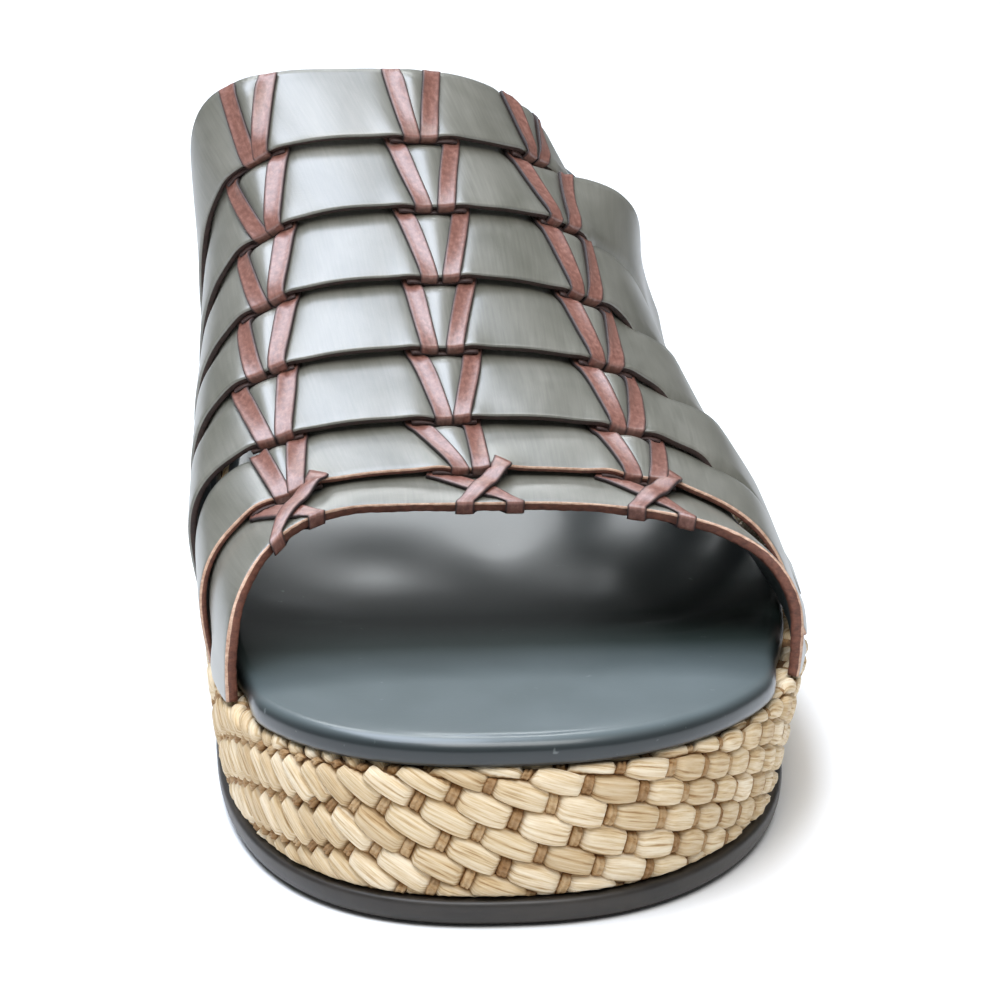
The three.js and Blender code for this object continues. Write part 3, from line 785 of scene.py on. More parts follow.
def strap_back(n, u):
    """How far back strap n reaches, as v: under the next strap from the medial flank to past the lateral
    column, and short of it beyond. One strap stays short on the medial flank too."""
    if n == 1:
        return np.ones_like(u)
    medial, lateral = back_columns(n)
    start = lateral + FLIP[n - 1]
    if n == SHORT_STRAP:
        medial_cover = smooth(medial - SHORT_OUTER, medial + SHORT_INNER, u)
    else:
        medial_cover = smooth(*COVER_FROM, u)
    cover = medial_cover * smooth(start + FLIP_COVER, start, u)
    end = smooth(*STRAP_END, np.minimum(u, 1 - u))
    short = STRAP_BACK_GAP + (STRAP_END_GAP - STRAP_BACK_GAP) * end
    short = short + FLAP_CUT * (n == FLAP_STRAP) * smooth(start, start + FLIP_REACH, u)
    return 1 + ((STRAP_OVERLAP + short) * cover - short) / pitch(STRAPS - n)


# Steps along a strap, across its outer and inner face, and round each corner of its cut edge
STRAP_STEPS = 220
OUTER_STEPS = 13
INNER_STEPS = 7
ROUND_STEPS = 4
OUTER_END = 0.1
INNER_START = 0.12
EDGE_ROUND = 0.4
# The toe strap's ragged edge: its depth, and the rate per mm, start and share of each of its waves
RAGGED = 0.06
RAGGED_WAVES = [(0.23, 0.0, 1.0), (0.71, 1.0, 1.0), (2.9, 2.0, 0.6)]
# How far the leather's UV moves from strap to strap, so that no two look alike
UV_SHIFT = (3.7, 1.9)
# Finishes of a strap's faces, in the order of its materials
OUTER, CUT, INNER, PAINTED_HIGHLIGHT = range(4)


def strap_section(n):
    """Strap n's section: share of its depth, mm back from the front edge, height, finish, and where it is
    ragged.

    It goes over the outer face from the back to the front, round the cut edge, and back along the inner face.
    """
    turn = np.linspace(0, np.pi / 2, ROUND_STEPS)
    floor = STRAP_THICK - STRAP_LEATHER[n - 1]
    short, long = EDGE_ROUND * (1 - np.sin(turn)), EDGE_ROUND * (1 - np.cos(turn))
    outer = [(s, 0.0, STRAP_THICK, OUTER) for s in np.linspace(1, OUTER_END, OUTER_STEPS)]
    top = [(0.0, back, STRAP_THICK - drop, OUTER) for back, drop in zip(short, long)]
    low = [(0.0, back, floor + rise, CUT) for back, rise in zip(long, short)]
    inner = [(s, 0.0, floor, INNER) for s in np.linspace(INNER_START, 1, INNER_STEPS)]
    section = outer + top + low + inner
    share, back, height, finish = (np.array(column) for column in zip(*section))
    finish = finish.astype(int)
    corner = len(outer) + len(top) - 1
    finish[corner] = CUT
    # The pale corner of the brown edges is a painted highlight
    finish[corner - 2:corner] = PAINTED_HIGHLIGHT if n >= BROWN_FROM else OUTER
    ragged = (finish == CUT) * (n == STRAPS)
    return share, back, height, finish, ragged


def make_strap(n):
    """Strap n: its section carried along the arch, closed round and at both feet. The toe strap's cut edge is
    ragged: a sum of three sines."""
    share, back, height, finish, ragged = strap_section(n)
    length, step = arch_length(STRAPS - n), pitch(STRAPS - n)
    u = np.linspace(0, 1, STRAP_STEPS + 1)[:, None]
    front = -TUCK_REACH * tuck_share(n, u) / step
    v = front + share * (strap_back(n, u) - front) + back / step
    fray_and_shade = sum(part * np.sin(u * length * rate + begin) for rate, begin, part in RAGGED_WAVES)
    h = height - RAGGED * ragged * fray_and_shade
    u = np.broadcast_to(u, v.shape)
    points = strap_point(n, u, v, h)
    rows, columns = v.shape
    faces = grid_faces(rows, columns, closed=True)
    picks = np.append(np.tile(finish, rows - 1), [OUTER, OUTER])
    ends = [list(range(columns))[::-1], list(range((rows - 1) * columns, rows * columns))]
    uv = np.stack([u * length / CM + UV_SHIFT[0] * n, v * step / CM + UV_SHIFT[1] * n], axis=-1)
    edge = EDGE_BROWN if n >= BROWN_FROM else EDGE_SHADED
    piece = make_piece(f"dressed_strap_{n}", points, faces.tolist() + ends, uv, picks,
                       (LEATHER, edge, LINING, EDGE_PALE), turn=True)
    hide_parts(f"strap_{n}")


for number in range(1, STRAPS + 1):
    make_strap(number)


# Laces

LACE_AROUND = 16
LACE_FLAT = 0.45
LACE_CROWN = 0.7
# How far before the cut edge and outside the faces a lace lies where it goes round, and its tail underneath
WRAP_BEFORE = 0.12
WRAP_OUTSIDE = 0.03
WRAP_STEPS = 9
TAIL_FROM = 0.05
TAIL_STEPS = 4
# A leg's run over the strap's face, as v: its top, how far it keeps from the strap's back, and its front end
LEG_TOP = 1.14
LEG_STOP = 0.03
FACE_END = 0.02
LEG_STEPS = 18
LEG_TAIL = 0.14
LEG_THIN = 0.12
LEG_CROSS_SPAN = (0.5, 0.1)
# A bar: how far it goes past the legs, its place back of the front edge, half width, drop and thickness
BAR_STEPS = 14
BAR_PAST = 1.0
BAR_BACK = 0.1
BAR_HALF = 0.7
BAR_DROP = 0.65
BAR_THICK = 0.75
BAR_UV = (0.06, 0.03)
# A strand of the X tie: its run over the face, its thickness, and how the over strand rides up
TIE_TOP = {"over": 1.14, "under": 1.1}
TIE_STEPS = 20
TIE_TAIL = 0.3
TIE_THICK = 0.8
TIE_RIDE = 0.8
TIE_RIDE_AT = 0.45
TIE_RIDE_WIDE = 0.32
TIE_CLIMB = 0.2
TIE_CLIMB_SPAN = (0.6, 1.0)
TIE_SQUARE_SPAN = (0.1, 0.35)


def lace_profile():
    """A lace's section, a flat superellipse: across from -1 to 1 and height from 0 to 1."""
    a = np.linspace(0, 2 * np.pi, LACE_AROUND, endpoint=False)
    across = np.sign(np.cos(a)) * np.abs(np.cos(a)) ** LACE_FLAT
    height = 0.5 + 0.5 * np.sign(np.sin(a)) * np.abs(np.sin(a)) ** LACE_CROWN
    return across, height


def wrap_over_edge(n, far):
    """v and height of a lace going over strap n's front edge: close round the cut edge, then back under."""
    angle = np.linspace(0, np.pi, WRAP_STEPS)
    radius = STRAP_LEATHER[n - 1] / 2
    v = -WRAP_BEFORE * np.sqrt(np.sin(angle).clip(0)) / pitch(STRAPS - n)
    h = STRAP_THICK - radius + (radius + WRAP_OUTSIDE) * np.cos(angle)
    tail_v = np.linspace(TAIL_FROM, far, TAIL_STEPS)
    return np.concatenate([v, tail_v]), np.concatenate([h, np.full(TAIL_STEPS, h[-1])])


def leg_band(n, column, side):
    """One leg of a V on strap n: from under the strap behind, down to the front edge, over it and back under.
    The lateral leg lies a little over the medial one at the foot."""
    front = STRAPS - n
    top_u = LACE_COLUMNS[column][front + 1] + leg_place(n, column, side, 1.0) / arch_length(front)
    back = float(strap_back(n, np.array([top_u]))[0])
    v_face = np.linspace(min(LEG_TOP, back - LEG_STOP), FACE_END, LEG_STEPS)
    v_edge, h_edge = wrap_over_edge(n, LEG_TAIL)
    v = np.concatenate([v_face, v_edge])
    low = np.concatenate([np.full(LEG_STEPS, STRAP_THICK), h_edge])
    thick = LACE_THICK - (LACE_THICK - LACE_WRAP) * smooth(LEG_THIN, 0.0, v)
    rise = LEG_CROSS * (side > 0) * smooth(*LEG_CROSS_SPAN, v)
    return v, low, leg_place(n, column, side, np.clip(v, 0, V_LIMIT)), rise, thick, 0.0 * v


def lace_points(n, column, v, low, offset, rise, thick, square):
    """A band whose thickness turns with it where it goes over the front edge: out on the face, forward at the
    edge, in at the back. The turn follows the band's own path in v and height. Its width lies along the arch,
    or square to its own path on the strap's face where square is 1."""
    front = STRAPS - n
    shares = LACE_COLUMNS[column]
    across, height = lace_profile()
    back_mm = v * pitch(front)
    turn_v, turn_h = np.gradient(back_mm), np.gradient(low)
    size = np.hypot(turn_v, turn_h) + TINY
    out_v, out_h = turn_h / size, -turn_v / size
    middle = np.interp(front + np.clip(v, 0, V_LIMIT), np.arange(len(shares)), shares)
    length = arch_length(front)
    path_u, path_v = np.gradient(offset), np.gradient(back_mm)
    path = np.hypot(path_u, path_v) + TINY
    wide_u = 1 + (np.abs(path_v) / path - 1) * square
    wide_v = path_u / path * square
    wide = across * LACE_WIDTH / 2
    u = middle[:, None] + (offset[:, None] + wide * wide_u[:, None]) / length
    deep = height * thick[:, None]
    vv = v[:, None] + (out_v[:, None] * deep + wide * wide_v[:, None]) / pitch(front)
    hh = (low + rise)[:, None] + out_h[:, None] * deep
    points = strap_point(n, u, vv, hh)
    step = np.linalg.norm(np.diff(points.mean(axis=1), axis=0), axis=-1)
    run = np.concatenate([[0], np.cumsum(step)]) / CM
    uv = np.stack(np.broadcast_arrays(0.5 + across / 2, run[:, None] + n), axis=-1)
    return points, uv


def bar_points(n, column):
    """The bar under strap n's front edge, along the arch between the tops of the two legs below."""
    front = STRAPS - n
    shares = LACE_COLUMNS[column]
    across, height = lace_profile()
    medial_top, lateral_top = (leg_place(n + 1, column, side, 1.0) for side in (-1, 1))
    offset = np.linspace(medial_top - BAR_PAST, lateral_top + BAR_PAST, BAR_STEPS)[:, None]
    u = shares[front] + offset / arch_length(front)
    v = (BAR_BACK + across * BAR_HALF) / pitch(front)
    h = STRAP_THICK - STRAP_LEATHER[n - 1] - BAR_DROP + BAR_THICK * height
    points = strap_point(n, *np.broadcast_arrays(u, v, h))
    uv = np.stack(np.broadcast_arrays(BAR_UV[0] + across * BAR_UV[1], offset / CM), axis=-1)
    return points, uv


def tie_band(strand):
    """One strand of the X on the toe strap: from the strap behind to the toe edge, over it and back under.

    The over strand starts on top of the strap behind, with a blunt end, and rides over the other one.
    """
    top, foot = TIE_STRANDS[strand]
    over = strand == "over"
    v_face = np.linspace(TIE_TOP[strand], FACE_END, TIE_STEPS)
    v_edge, h_edge = wrap_over_edge(STRAPS, TIE_TAIL)
    v = np.concatenate([v_face, v_edge])
    low = np.concatenate([np.full(TIE_STEPS, STRAP_THICK), h_edge])
    offset = foot + (top - foot) * np.clip(v, 0, V_LIMIT)
    face = 1.0 * (np.arange(len(v)) < TIE_STEPS)
    ride = TIE_RIDE * np.exp(-((v - TIE_RIDE_AT) / TIE_RIDE_WIDE) ** 2) * face
    climb = (LAP + TIE_CLIMB) * smooth(*TIE_CLIMB_SPAN, v)
    rise = ride + climb if over else 0.0 * v
    square = face * smooth(*TIE_SQUARE_SPAN, v)
    thick = LACE_WRAP + (TIE_THICK - LACE_WRAP) * square
    return v, low, offset, rise, thick, square


def make_lace(column):
    """One column: two legs and a bar on each of the straps 1 to 6, and the X tie on the toe strap."""
    points, uvs, faces = [], [], []
    start = 0

    def add(piece_points, piece_uv):
        """One band, closed round and capped at both ends."""
        nonlocal start
        rows, columns = piece_points.shape[:2]
        quads = (grid_faces(rows, columns, closed=True) + start).tolist()
        first, last = start, start + (rows - 1) * columns
        ends = [list(range(first, first + columns))[::-1], list(range(last, last + columns))]
        faces.extend(quads + ends)
        points.append(piece_points.reshape(-1, 3))
        uvs.append(piece_uv.reshape(-1, 2))
        start += rows * columns

    for n in range(1, STRAPS):
        for side in (-1, 1):
            add(*lace_points(n, column, *leg_band(n, column, side)))
        add(*bar_points(n, column))
    for strand in ("under", "over"):
        add(*lace_points(STRAPS, column, *tie_band(strand)))
    piece = make_piece(f"dressed_{column}", np.concatenate(points), faces, np.concatenate(uvs),
                       materials=(LACE,), turn=True)
    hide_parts(column)


for column_name in LACE_COLUMNS:
    make_lace(column_name)


# Sole: rings round the outline, one per level, and a top or floor across

# Steps round the toe, along the side and round the heel, and across the bottom
SOLE_STEPS = (44, 56, 36)
BOTTOM_STEPS = 6
# The top is lowered in full where it is at least this wide
FULL_WIDTH = 20.0
# Where up the levels the side value goes from 0 to 1, and how near points are that become one
SIDE_SPAN = (0.85, 0.4)
MERGE = 0.004


def sole_shell(name, levels, across, sink, material):
    """A closed shell: levels are (inset(d, side), height(d)) from the bottom up; the bottom and the top are
    ladders of points between the two sides, and sink(d, share across, x) lowers the top. Each point's side
    value is 1 at the foot of the wall and 0 on the top."""
    medial, lateral = [], []
    for inset, height in levels:
        medial.append(side_line("medial", lambda d: inset(d, "medial"), height, SOLE_STEPS))
        lateral.append(side_line("lateral", lambda d: inset(d, "lateral"), height, SOLE_STEPS))
    top_medial, top_lateral = medial[-1], lateral[-1]
    t = np.linspace(0, 1, across + 2)[1:-1]
    top = top_medial[:, None] * (1 - t[:, None]) + top_lateral[:, None] * t[:, None]
    width = (top_lateral - top_medial)[:, :1]
    top[..., 2] -= sink(top[..., 1] + LENGTH / 2, 2 * t - 1, top[..., 0]) * np.minimum(1, width / FULL_WIDTH)
    bottom_t = np.linspace(0, 1, BOTTOM_STEPS)[1:-1]
    bottom = lateral[0][:, None] * (1 - bottom_t[:, None]) + medial[0][:, None] * bottom_t[:, None]
    section = np.concatenate([
        np.stack(medial, axis=1), top, np.stack(lateral[::-1], axis=1), bottom,
    ], axis=1)
    rows, columns = section.shape[:2]
    wall = smooth(*SIDE_SPAN, np.linspace(0, 1, len(levels)))
    side = np.concatenate([wall, np.zeros(across), wall[::-1], np.ones(len(bottom_t))])
    values = {"side": np.broadcast_to(side, (rows, columns))}
    return make_piece(name, section, grid_faces(rows, columns, closed=True), materials=(material,),
                      merge=MERGE, values=values)


def level_top(d, share, x):
    """A top that is lowered nowhere."""
    return 0 * x


def outsole_levels():
    """The outsole's edge from the floor up: a round lower corner, a plain wall and a small upper round."""
    def level(inset, z):
        return (lambda d, side: inset + lean(d, side, z / rim(d)),
                lambda d: np.full_like(d, z))
    return [level(*row) for row in OUTSOLE_EDGE]


FLAT_ACROSS = 8
outsole = sole_shell("dressed_outsole", outsole_levels(), FLAT_ACROSS, level_top, RUBBER)
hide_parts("outsole")

BACKING_INSET = 1.3
# How far in the backing's levels stand, and their share of the wall's height
BACKING_EDGE = [(0.8, 0.0), (0.2, 0.5), (0.0, 0.96), (0.6, 1.0)]


def wedge_levels():
    """The straw wall behind the strands, dark with painted shade: the wedge's own wall drawn in by a strand's
    depth.
    """
    def level(inset, share):
        return (lambda d, side: inset + BACKING_INSET + lean(d, side, share),
                lambda d: WEDGE_FOOT + (rim(d) - WEDGE_FOOT) * share)
    return [level(*row) for row in BACKING_EDGE]


wedge = sole_shell("dressed_wedge", wedge_levels(), FLAT_ACROSS, level_top, BACKING)
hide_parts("wedge")


def footbed_inset(d, side):
    """How far the footbed's side stands in from the straw wall: a little in front, drawn in beside the straps
    and less again behind them, with smooth steps between."""
    a, b, c, e = FOOTBED_WAIST[side]
    deep = along(FOOTBED_DRAWN[side], d)
    front = FOOTBED_INSET["front"] + (deep - FOOTBED_INSET["front"]) * smooth(a, b, d)
    return front + (FOOTBED_INSET["back"] - deep) * smooth(c, e, d)


def lip(d):
    """Height of the footbed's lip above the rim."""
    return along(LIP, d)


# The footbed's wall below the roll: inset, share of the way up to the lip, and the height above the rim where
# that way begins
FOOTBED_EDGE = [(1.4, 0.0, FOOTBED_GAP), (0.5, 0.03, 0.8), (0.1, 0.12, 1.0), (0.0, 0.3, 1.0)]
# The roll on to the top: reach inward, share of the way up where it begins, its base, first angle and steps
LIP_REACH = 2.2
ROLL_SHARE = 0.45
ROLL_BASE = 1.0
ROLL_ANGLE = 0.1
ROLL_STEPS = 9


def footbed_levels():
    """The footbed's edge: tucked under at the straw, a nearly plain wall, and a round roll on to the top."""
    def level(inset, share, base):
        return (lambda d, side: footbed_inset(d, side) + inset,
                lambda d: rim(d) + base + (lip(d) - base) * share)
    levels = [level(*row) for row in FOOTBED_EDGE]
    for angle in np.linspace(ROLL_ANGLE, np.pi / 2, ROLL_STEPS):
        share = ROLL_SHARE + (1 - ROLL_SHARE) * math.sin(angle)
        levels.append(level(LIP_REACH * (1 - math.cos(angle)), share, ROLL_BASE))
    return levels


FOOTBED_ACROSS = 60
DISH_POWER = 4
# x, d, length along x, length along d, turn and depth of each soft crease, or swell where depth is below zero
CREASES = [
    [33.0, 57.0, 7.0, 2.0, 0.45, 0.55],
    [30.0, 64.0, 9.0, 2.2, 0.4, 0.6],
    [36.0, 71.0, 8.0, 2.4, 0.5, 0.5],
    [-27.0, 68.0, 9.0, 3.0, -0.4, 0.5],
    [-16.0, 88.0, 9.0, 9.0, -0.25, -0.9],
    [20.0, 84.0, 8.0, 9.0, 0.3, -0.8],
    [4.0, 88.0, 7.0, 12.0, 0.0, 0.7],
]


def footbed_sink(d, share, x):
    """How far the top lies below the lip: a dish across the foot with level sides, and the soft creases, each
    a bell in two directions."""
    dish = (lip(d) - along(MIDDLE, d)) * (1 - share ** DISH_POWER)
    fold = 0.0
    for cx, cd, long, wide, turn, depth in CREASES:
        a = (x - cx) * math.cos(turn) + (d - cd) * math.sin(turn)
        b = (d - cd) * math.cos(turn) - (x - cx) * math.sin(turn)
        fold = fold + depth * np.exp(-(a / long) ** 2 - (b / wide) ** 2)
    return dish + fold


footbed = sole_shell("dressed_footbed", footbed_levels(), FOOTBED_ACROSS, footbed_sink, FOOTBED)
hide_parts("footbed")


# Straw strands round the wall

OUTLINE_STEPS = (400, 300, 300)


def outline_table():
    """The outline as one line from the heel tip down the medial side, round the toe and up the lateral side:
    run in mm from the toe tip (medial side negative), d, x, and the direction along it in x and in d."""
    medial_d, medial_w = side_points("medial", *OUTLINE_STEPS)
    lateral_d, lateral_w = side_points("lateral", *OUTLINE_STEPS)
    d = np.concatenate([medial_d[:0:-1], lateral_d])
    x = np.concatenate([-medial_w[:0:-1], lateral_w])
    run = np.concatenate([[0], np.cumsum(np.hypot(np.diff(d), np.diff(x)))])
    run -= run[len(medial_d) - 1]
    slope_d, slope_x = np.gradient(d), np.gradient(x)
    size = np.hypot(slope_d, slope_x)
    return run, d, x, slope_x / size, slope_d / size


RUN, RUN_D, RUN_X, RUN_TX, RUN_TD = outline_table()
# Share of the wall's height, how far in it stands
WALL_TABLE = np.array([[0.0, 0.8], [0.5, 0.2], [1.0, 0.0]])
# How far below the rim its round edge begins, and the radius of that edge
RIM_EDGE = 1.2
RIM_ROUND = 1.6


def wall_point(s, h, out):
    """A point of the straw wall: s round the outline, h up the wall and then over the rim's round edge, and
    out square to it."""
    total = RUN[-1] - RUN[0]
    s = (s - RUN[0]) % total + RUN[0]
    d, x = np.interp(s, RUN, RUN_D), np.interp(s, RUN, RUN_X)
    tx, td = np.interp(s, RUN, RUN_TX), np.interp(s, RUN, RUN_TD)
    size = np.hypot(tx, td)
    out_x, out_d = td / size, -tx / size
    top = rim(d) - RIM_EDGE
    share = np.clip((h - WEDGE_FOOT) / (top - WEDGE_FOOT), 0, 1)
    leaning = np.where(s < 0, lean(d, "medial", share), lean(d, "lateral", share))
    inset = np.interp(share, WALL_TABLE[:, 0], WALL_TABLE[:, 1]) + leaning
    over = np.maximum(h - top, 0)
    angle = np.minimum(over / RIM_ROUND, np.pi / 2)
    flat = over - RIM_ROUND * angle
    reach = -inset - RIM_ROUND + (RIM_ROUND + out) * np.cos(angle) - flat
    z = np.minimum(h, top) + (RIM_ROUND + out) * np.sin(angle)
    return np.stack([x + out_x * reach, d + out_d * reach - LENGTH / 2, z], axis=-1)


# The weave's lattice on the wall: x and q of one tie, the step to the next row, and the step along a strand.
# x runs round the wall from the toe tip as s does, and q up it, before the squeeze and the lift.
LATTICE_START = np.array([-0.8, 16.3])
ROW_STEP = np.array([-5.25, -2.1])
STRAND_STEP = np.array([8.9, -3.3])
STRAND_LONG = float(np.hypot(*STRAND_STEP))
# How far the weave is lifted on each side, and over what run from the toe tip
LIFT_MEDIAL = 21.0
LIFT_LATERAL = 14.0
LIFT_REACH = 60.0
# The squeeze on the sides, and the run over which it sets in
SQUEEZE = 0.69
SQUEEZE_SPAN = (16.0, 36.0)
# Half length and points of the table of squeezed runs, and the lattice's steps each way
WEAVE_REACH = 700.0
WEAVE_STEPS = 5601
LATTICE_REACH = 130
# How low on the wall and how far over the rim places are kept
WEAVE_LOW = 1.0
WEAVE_OVER = 4.5
# Half width of a strand and the gap between its ends, and length and half width of a tie
STRAND_HALF = 2.4
STRAND_TRIM = 0.8
TIE_LONG = 1.7
TIE_HALF = 1.75
# Points along and across, how far out the top lies, depth, power and draw of the ends, and groove
STRAND_SHAPE = {"points": (9, 7), "out": 0.25, "deep": 1.7, "power": 6.0, "waist": 0.24, "groove": 0.0}
TIE_SHAPE = {"points": (7, 5), "out": -0.05, "deep": 1.2, "power": 4.0, "waist": 0.0, "groove": 0.3}
WAIST_POWER = 2.4
ROUND_POWER = 3.4
GROOVE_WIDE = 0.22
# How much strands differ: in slope, length, width, bow in mm, and depth
VARY_SLOPE = 0.03
VARY_LONG = 0.04
VARY_WIDE = 0.05
VARY_BOW = 0.12
VARY_DEEP = 0.07
# Strands flatten from above the foot of the wall to below it, and stop a little below
FLAT_ABOVE = 1.0
FLAT_BELOW = 0.6
STOP_BELOW = 0.1
UV_TILES = 40


def squeeze(x):
    """How long a step round the wall is beside one at the toe tip: 1 there, and less on both sides."""
    return 1 - (1 - SQUEEZE) * smooth(*SQUEEZE_SPAN, np.abs(x))


def squeezed_run():
    """The weave's run x and the run s round the wall that it covers: the running sum of the squeeze from the
    toe tip."""
    x = np.linspace(-WEAVE_REACH, WEAVE_REACH, WEAVE_STEPS)
    share = squeeze(x)
    s = np.concatenate([[0], np.cumsum((share[1:] + share[:-1]) / 2 * np.diff(x))])
    return x, s - s[len(s) // 2]


WEAVE_X, WEAVE_S = squeezed_run()


def lift(x):
    """How far the weave is lifted away from the toe tip, and how fast that grows with x."""
    full = np.where(x < 0, LIFT_MEDIAL, LIFT_LATERAL)
    near = np.exp(-(x / LIFT_REACH) ** 2)
    return full * (1 - near), full * 2 * x / LIFT_REACH ** 2 * near


def weave_places(start):
    """Places of the weave as x, s and h: whole steps of the two lattice vectors from a start, lifted away
    from the toe tip, and kept where they lie on the wall or just off its edges. The lattice is stretched a
    little, by as much as makes a whole number of steps go once round, so that its ends meet at the heel."""
    counts = np.arange(-LATTICE_REACH, LATTICE_REACH + 1)
    i, j = np.meshgrid(counts, counts, indexing="ij")
    place = start + i[..., None] * ROW_STEP + j[..., None] * STRAND_STEP
    x, q = place.reshape(-1, 2).T
    first, last = np.interp([RUN[0], RUN[-1]], WEAVE_S, WEAVE_X)
    once_round = np.array([last - first, LIFT_MEDIAL - LIFT_LATERAL])
    steps = np.stack([ROW_STEP, STRAND_STEP], axis=1)
    whole = steps @ np.round(np.linalg.solve(steps, once_round))
    q = q + (once_round[1] - whole[1]) * x / whole[0]
    x = x * once_round[0] / whole[0]
    s = np.interp(x, WEAVE_X, WEAVE_S)
    h = q + lift(x)[0]
    d = np.interp(s, RUN, RUN_D)
    keep = (x >= first) & (x < last) & (h > WEAVE_LOW) & (h < rim(d) + WEAVE_OVER)
    return x[keep], s[keep], h[keep]


def strand_slope(x):
    """Rise of a strand per mm round the wall."""
    return (STRAND_STEP[1] / STRAND_STEP[0] + lift(x)[1]) / squeeze(x)


def strand_long(x):
    """Length of one step along a strand on the wall."""
    return STRAND_STEP[0] * squeeze(x) * np.sqrt(1 + strand_slope(x) ** 2)


def strand_spread(x):
    """How far apart strands lie beside those at the toe tip."""
    return squeeze(x) * STRAND_LONG / strand_long(x)


def pillows(name, places, length, half, shape, material, rng):
    """Rounded strands on the wall, one per place, each with its own length and half width.

    Across it a strand is a flattened round, along it a barrel that draws in toward its ends, with a groove
    over its middle where there is one. Height falls to the backing at the rim of the patch.
    """
    x, s, h = (part[:, None, None] for part in places)
    count = len(x)
    along_points, across_points = shape["points"]
    out, deep = shape["out"], shape["deep"]
    a = np.linspace(-1, 1, along_points)[None, :, None]
    b = np.linspace(-1, 1, across_points)[None, None, :]
    jitter = rng.normal(0, 1, (5, count, 1, 1))
    slope = strand_slope(x) + VARY_SLOPE * jitter[0]
    along_s = 1 / np.sqrt(1 + slope ** 2)
    along_h = slope * along_s
    half_long = length[:, None, None] / 2 * (1 + VARY_LONG * jitter[1])
    drawn = 1 - shape["waist"] * np.abs(a) ** WAIST_POWER
    half_wide = half[:, None, None] * (1 + VARY_WIDE * jitter[2]) * drawn
    bow = VARY_BOW * jitter[3] * (1 - a * a)
    p = a * half_long
    q = b * half_wide + bow
    ss = s + p * along_s - q * along_h
    hh = h + p * along_h + q * along_s
    dome = np.sqrt(1 - np.abs(b) ** ROUND_POWER) * np.sqrt(1 - np.abs(a) ** shape["power"])
    dome = dome * (1 - shape["groove"] * np.exp(-(a / GROOVE_WIDE) ** 2))
    foot = smooth(WEDGE_FOOT - FLAT_BELOW, WEDGE_FOOT + FLAT_ABOVE, hh)
    height = out - deep + deep * dome * (1 + VARY_DEEP * jitter[4]) * foot
    hh = np.maximum(hh, WEDGE_FOOT - STOP_BELOW)
    points = wall_point(ss, hh, height)
    values = {
        "tone": np.broadcast_to(rng.random((count, 1, 1)), ss.shape),
        # edge is 1 at a strand's rim, where the straw finish paints shade
        "edge": np.broadcast_to(1 - dome, ss.shape),
    }
    uv_along = a / 2 + 0.5 + rng.integers(0, UV_TILES, (count, 1, 1))
    uv_across = b / 2 + 0.5 + rng.integers(0, UV_TILES, (count, 1, 1))
    uv = np.stack(np.broadcast_arrays(uv_along, uv_across), axis=-1)
    per = along_points * across_points
    quads = grid_faces(along_points, across_points, closed=False)[:, ::-1]
    faces = (quads[None] + (np.arange(count) * per)[:, None, None]).reshape(-1, 4)
    piece = make_piece(name, points, faces.tolist(), uv, materials=(material,), values=values)


rng = np.random.default_rng(7)
tie_places = weave_places(LATTICE_START)
tie_x = tie_places[0]
strand_places = weave_places(LATTICE_START + STRAND_STEP / 2)
strand_x = strand_places[0]
pillows("straw_strands", strand_places, strand_long(strand_x) - STRAND_TRIM,
        STRAND_HALF * strand_spread(strand_x), STRAND_SHAPE, STRAND, rng)
pillows("straw_ties", tie_places, TIE_LONG * squeeze(tie_x),
        TIE_HALF * strand_spread(tie_x), TIE_SHAPE, TIE, rng)


# Floor, light and camera

# The floor's half width, drop below the sole, points a side and colour, and the room's colour and strength
FLOOR_HALF = 3.0
FLOOR_DROP = 0.0002
FLOOR_POINTS = 9
FLOOR_COLOUR = (0.86, 0.86, 0.855, 1.0)
ROOM_COLOUR = (0.97, 0.985, 1.0, 1.0)
ROOM_STRENGTH = 0.17
# Name, place, width and height, watts and colour of each light
LIGHTS = [
    ("overhead", (-0.28, 0.01, 1.0), (1.0, 0.66), 19.5, (0.785, 0.86, 1.0)),
    ("front", (0.05, -0.65, 1.05), (0.9, 0.6), 11.5, (1.0, 1.0, 1.0)),
    ("back", (-0.1, 1.0, 1.0), (0.7, 0.25), 5.0, (0.94, 0.98, 1.0)),
]
LIGHT_TARGET = (0.0, -0.02, 0.05)


def make_floor():
    """A pale level floor with a far edge outside the view."""
    line = np.linspace(-FLOOR_HALF, FLOOR_HALF, FLOOR_POINTS)
    x, y = np.meshgrid(line, line)
    points = np.stack([x, y, np.full_like(x, -FLOOR_DROP)], axis=-1)
    faces = grid_faces(FLOOR_POINTS, FLOOR_POINTS, closed=False)
    mesh = bpy.data.meshes.new("floor")
    mesh.from_pydata(points.reshape(-1, 3).tolist(), [], faces.tolist())
    f = Finish("pale floor", uv=False)
    f.set(Base_Color=FLOOR_COLOUR, Roughness=0.7)
    mesh.materials.append(f.material)
    floor = bpy.data.objects.new("floor", mesh)
    bpy.context.scene.collection.objects.link(floor)


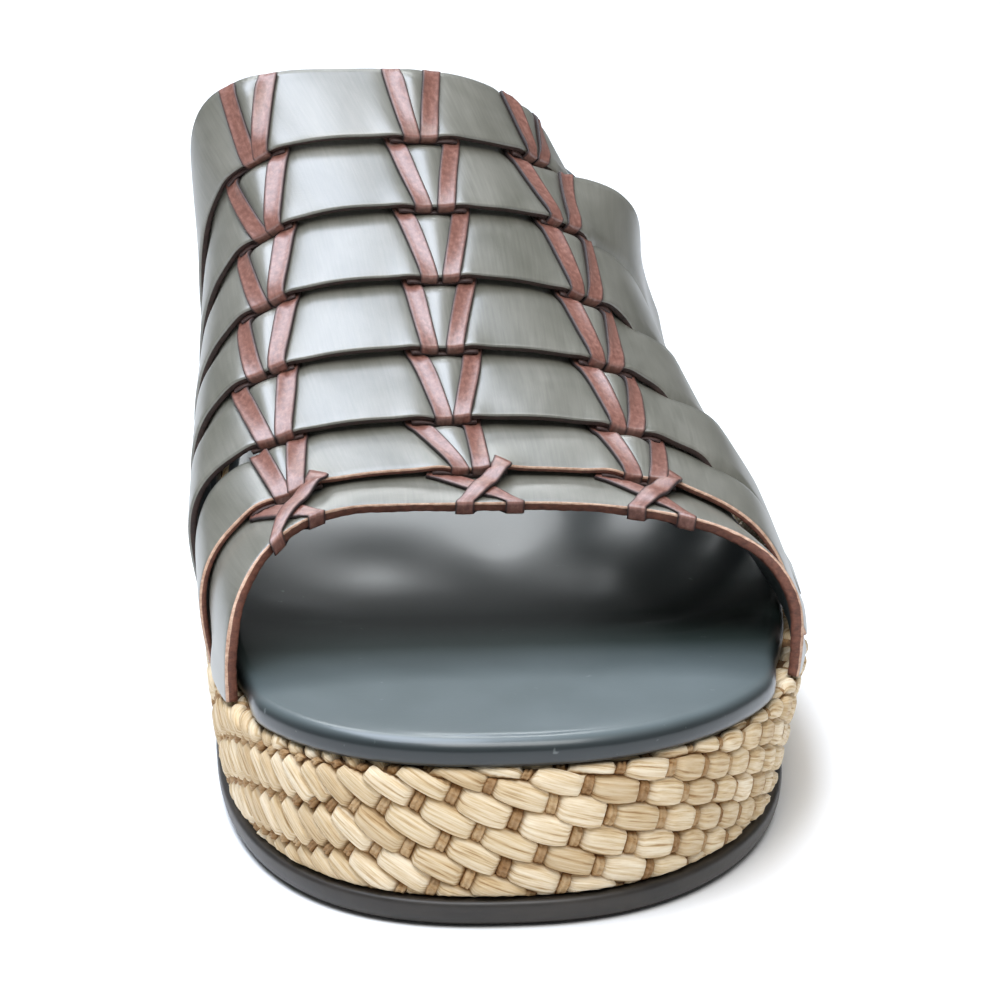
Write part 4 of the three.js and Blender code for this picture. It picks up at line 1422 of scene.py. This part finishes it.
def add_light(name, place, size, power, colour):
    """A soft light of a width and height at a place, turned to the shoe, in metres and watts."""
    lamp = bpy.data.lights.new(name, "AREA")
    lamp.shape = "RECTANGLE"
    lamp.size, lamp.size_y = size
    lamp.energy = power
    lamp.color = colour
    holder = bpy.data.objects.new(name, lamp)
    holder.location = place
    holder.rotation_mode = "QUATERNION"
    holder.rotation_quaternion = (Vector(LIGHT_TARGET) - Vector(place)).to_track_quat("-Z", "Y")
    bpy.context.scene.collection.objects.link(holder)


def make_light():
    """A dim pale room, a large cool light high over the medial side, and weaker ones in front and behind."""
    world = bpy.data.worlds.new("studio")
    world.use_nodes = True
    background = world.node_tree.nodes["Background"]
    background.inputs["Color"].default_value = ROOM_COLOUR
    background.inputs["Strength"].default_value = ROOM_STRENGTH
    bpy.context.scene.world = world
    for row in LIGHTS:
        add_light(*row)


# The camera in mm, its pitch in radians, its focal length and the shoe's middle in the photograph's pixels
PHOTO_CAMERA = Vector((-45.151, -650.805, 220.686)) * MM
PHOTO_PITCH = 0.291
PHOTO_FOCAL = 3166.178
PHOTO_MIDDLE = (744.0, 502.0)
ZOOM = 1.26
FRAME_SIDE = 1000.0
SENSOR = 36.0
CLIP_START = 0.05
CLIP_END = 20.0


def make_camera():
    """A camera where the photograph's stood, turned to the shoe's middle and brought nearer by its lens."""
    ahead = Vector((0, math.cos(PHOTO_PITCH), -math.sin(PHOTO_PITCH)))
    up = Vector((0, math.sin(PHOTO_PITCH), math.cos(PHOTO_PITCH)))
    right = Vector((1, 0, 0))
    half = FRAME_SIDE / 2
    aim = ahead * PHOTO_FOCAL + right * (PHOTO_MIDDLE[0] - half) - up * (PHOTO_MIDDLE[1] - half)
    data = bpy.data.cameras.new("camera")
    data.sensor_width = SENSOR
    data.lens = SENSOR * PHOTO_FOCAL * ZOOM / FRAME_SIDE
    data.clip_start = CLIP_START
    data.clip_end = CLIP_END
    camera = bpy.data.objects.new("camera", data)
    camera.location = PHOTO_CAMERA
    camera.rotation_mode = "QUATERNION"
    camera.rotation_quaternion = aim.to_track_quat("-Z", "Y")
    bpy.context.scene.collection.objects.link(camera)
    bpy.context.scene.camera = camera


make_floor()
make_light()
make_camera()
bpy.context.scene.view_settings.view_transform = "Standard"
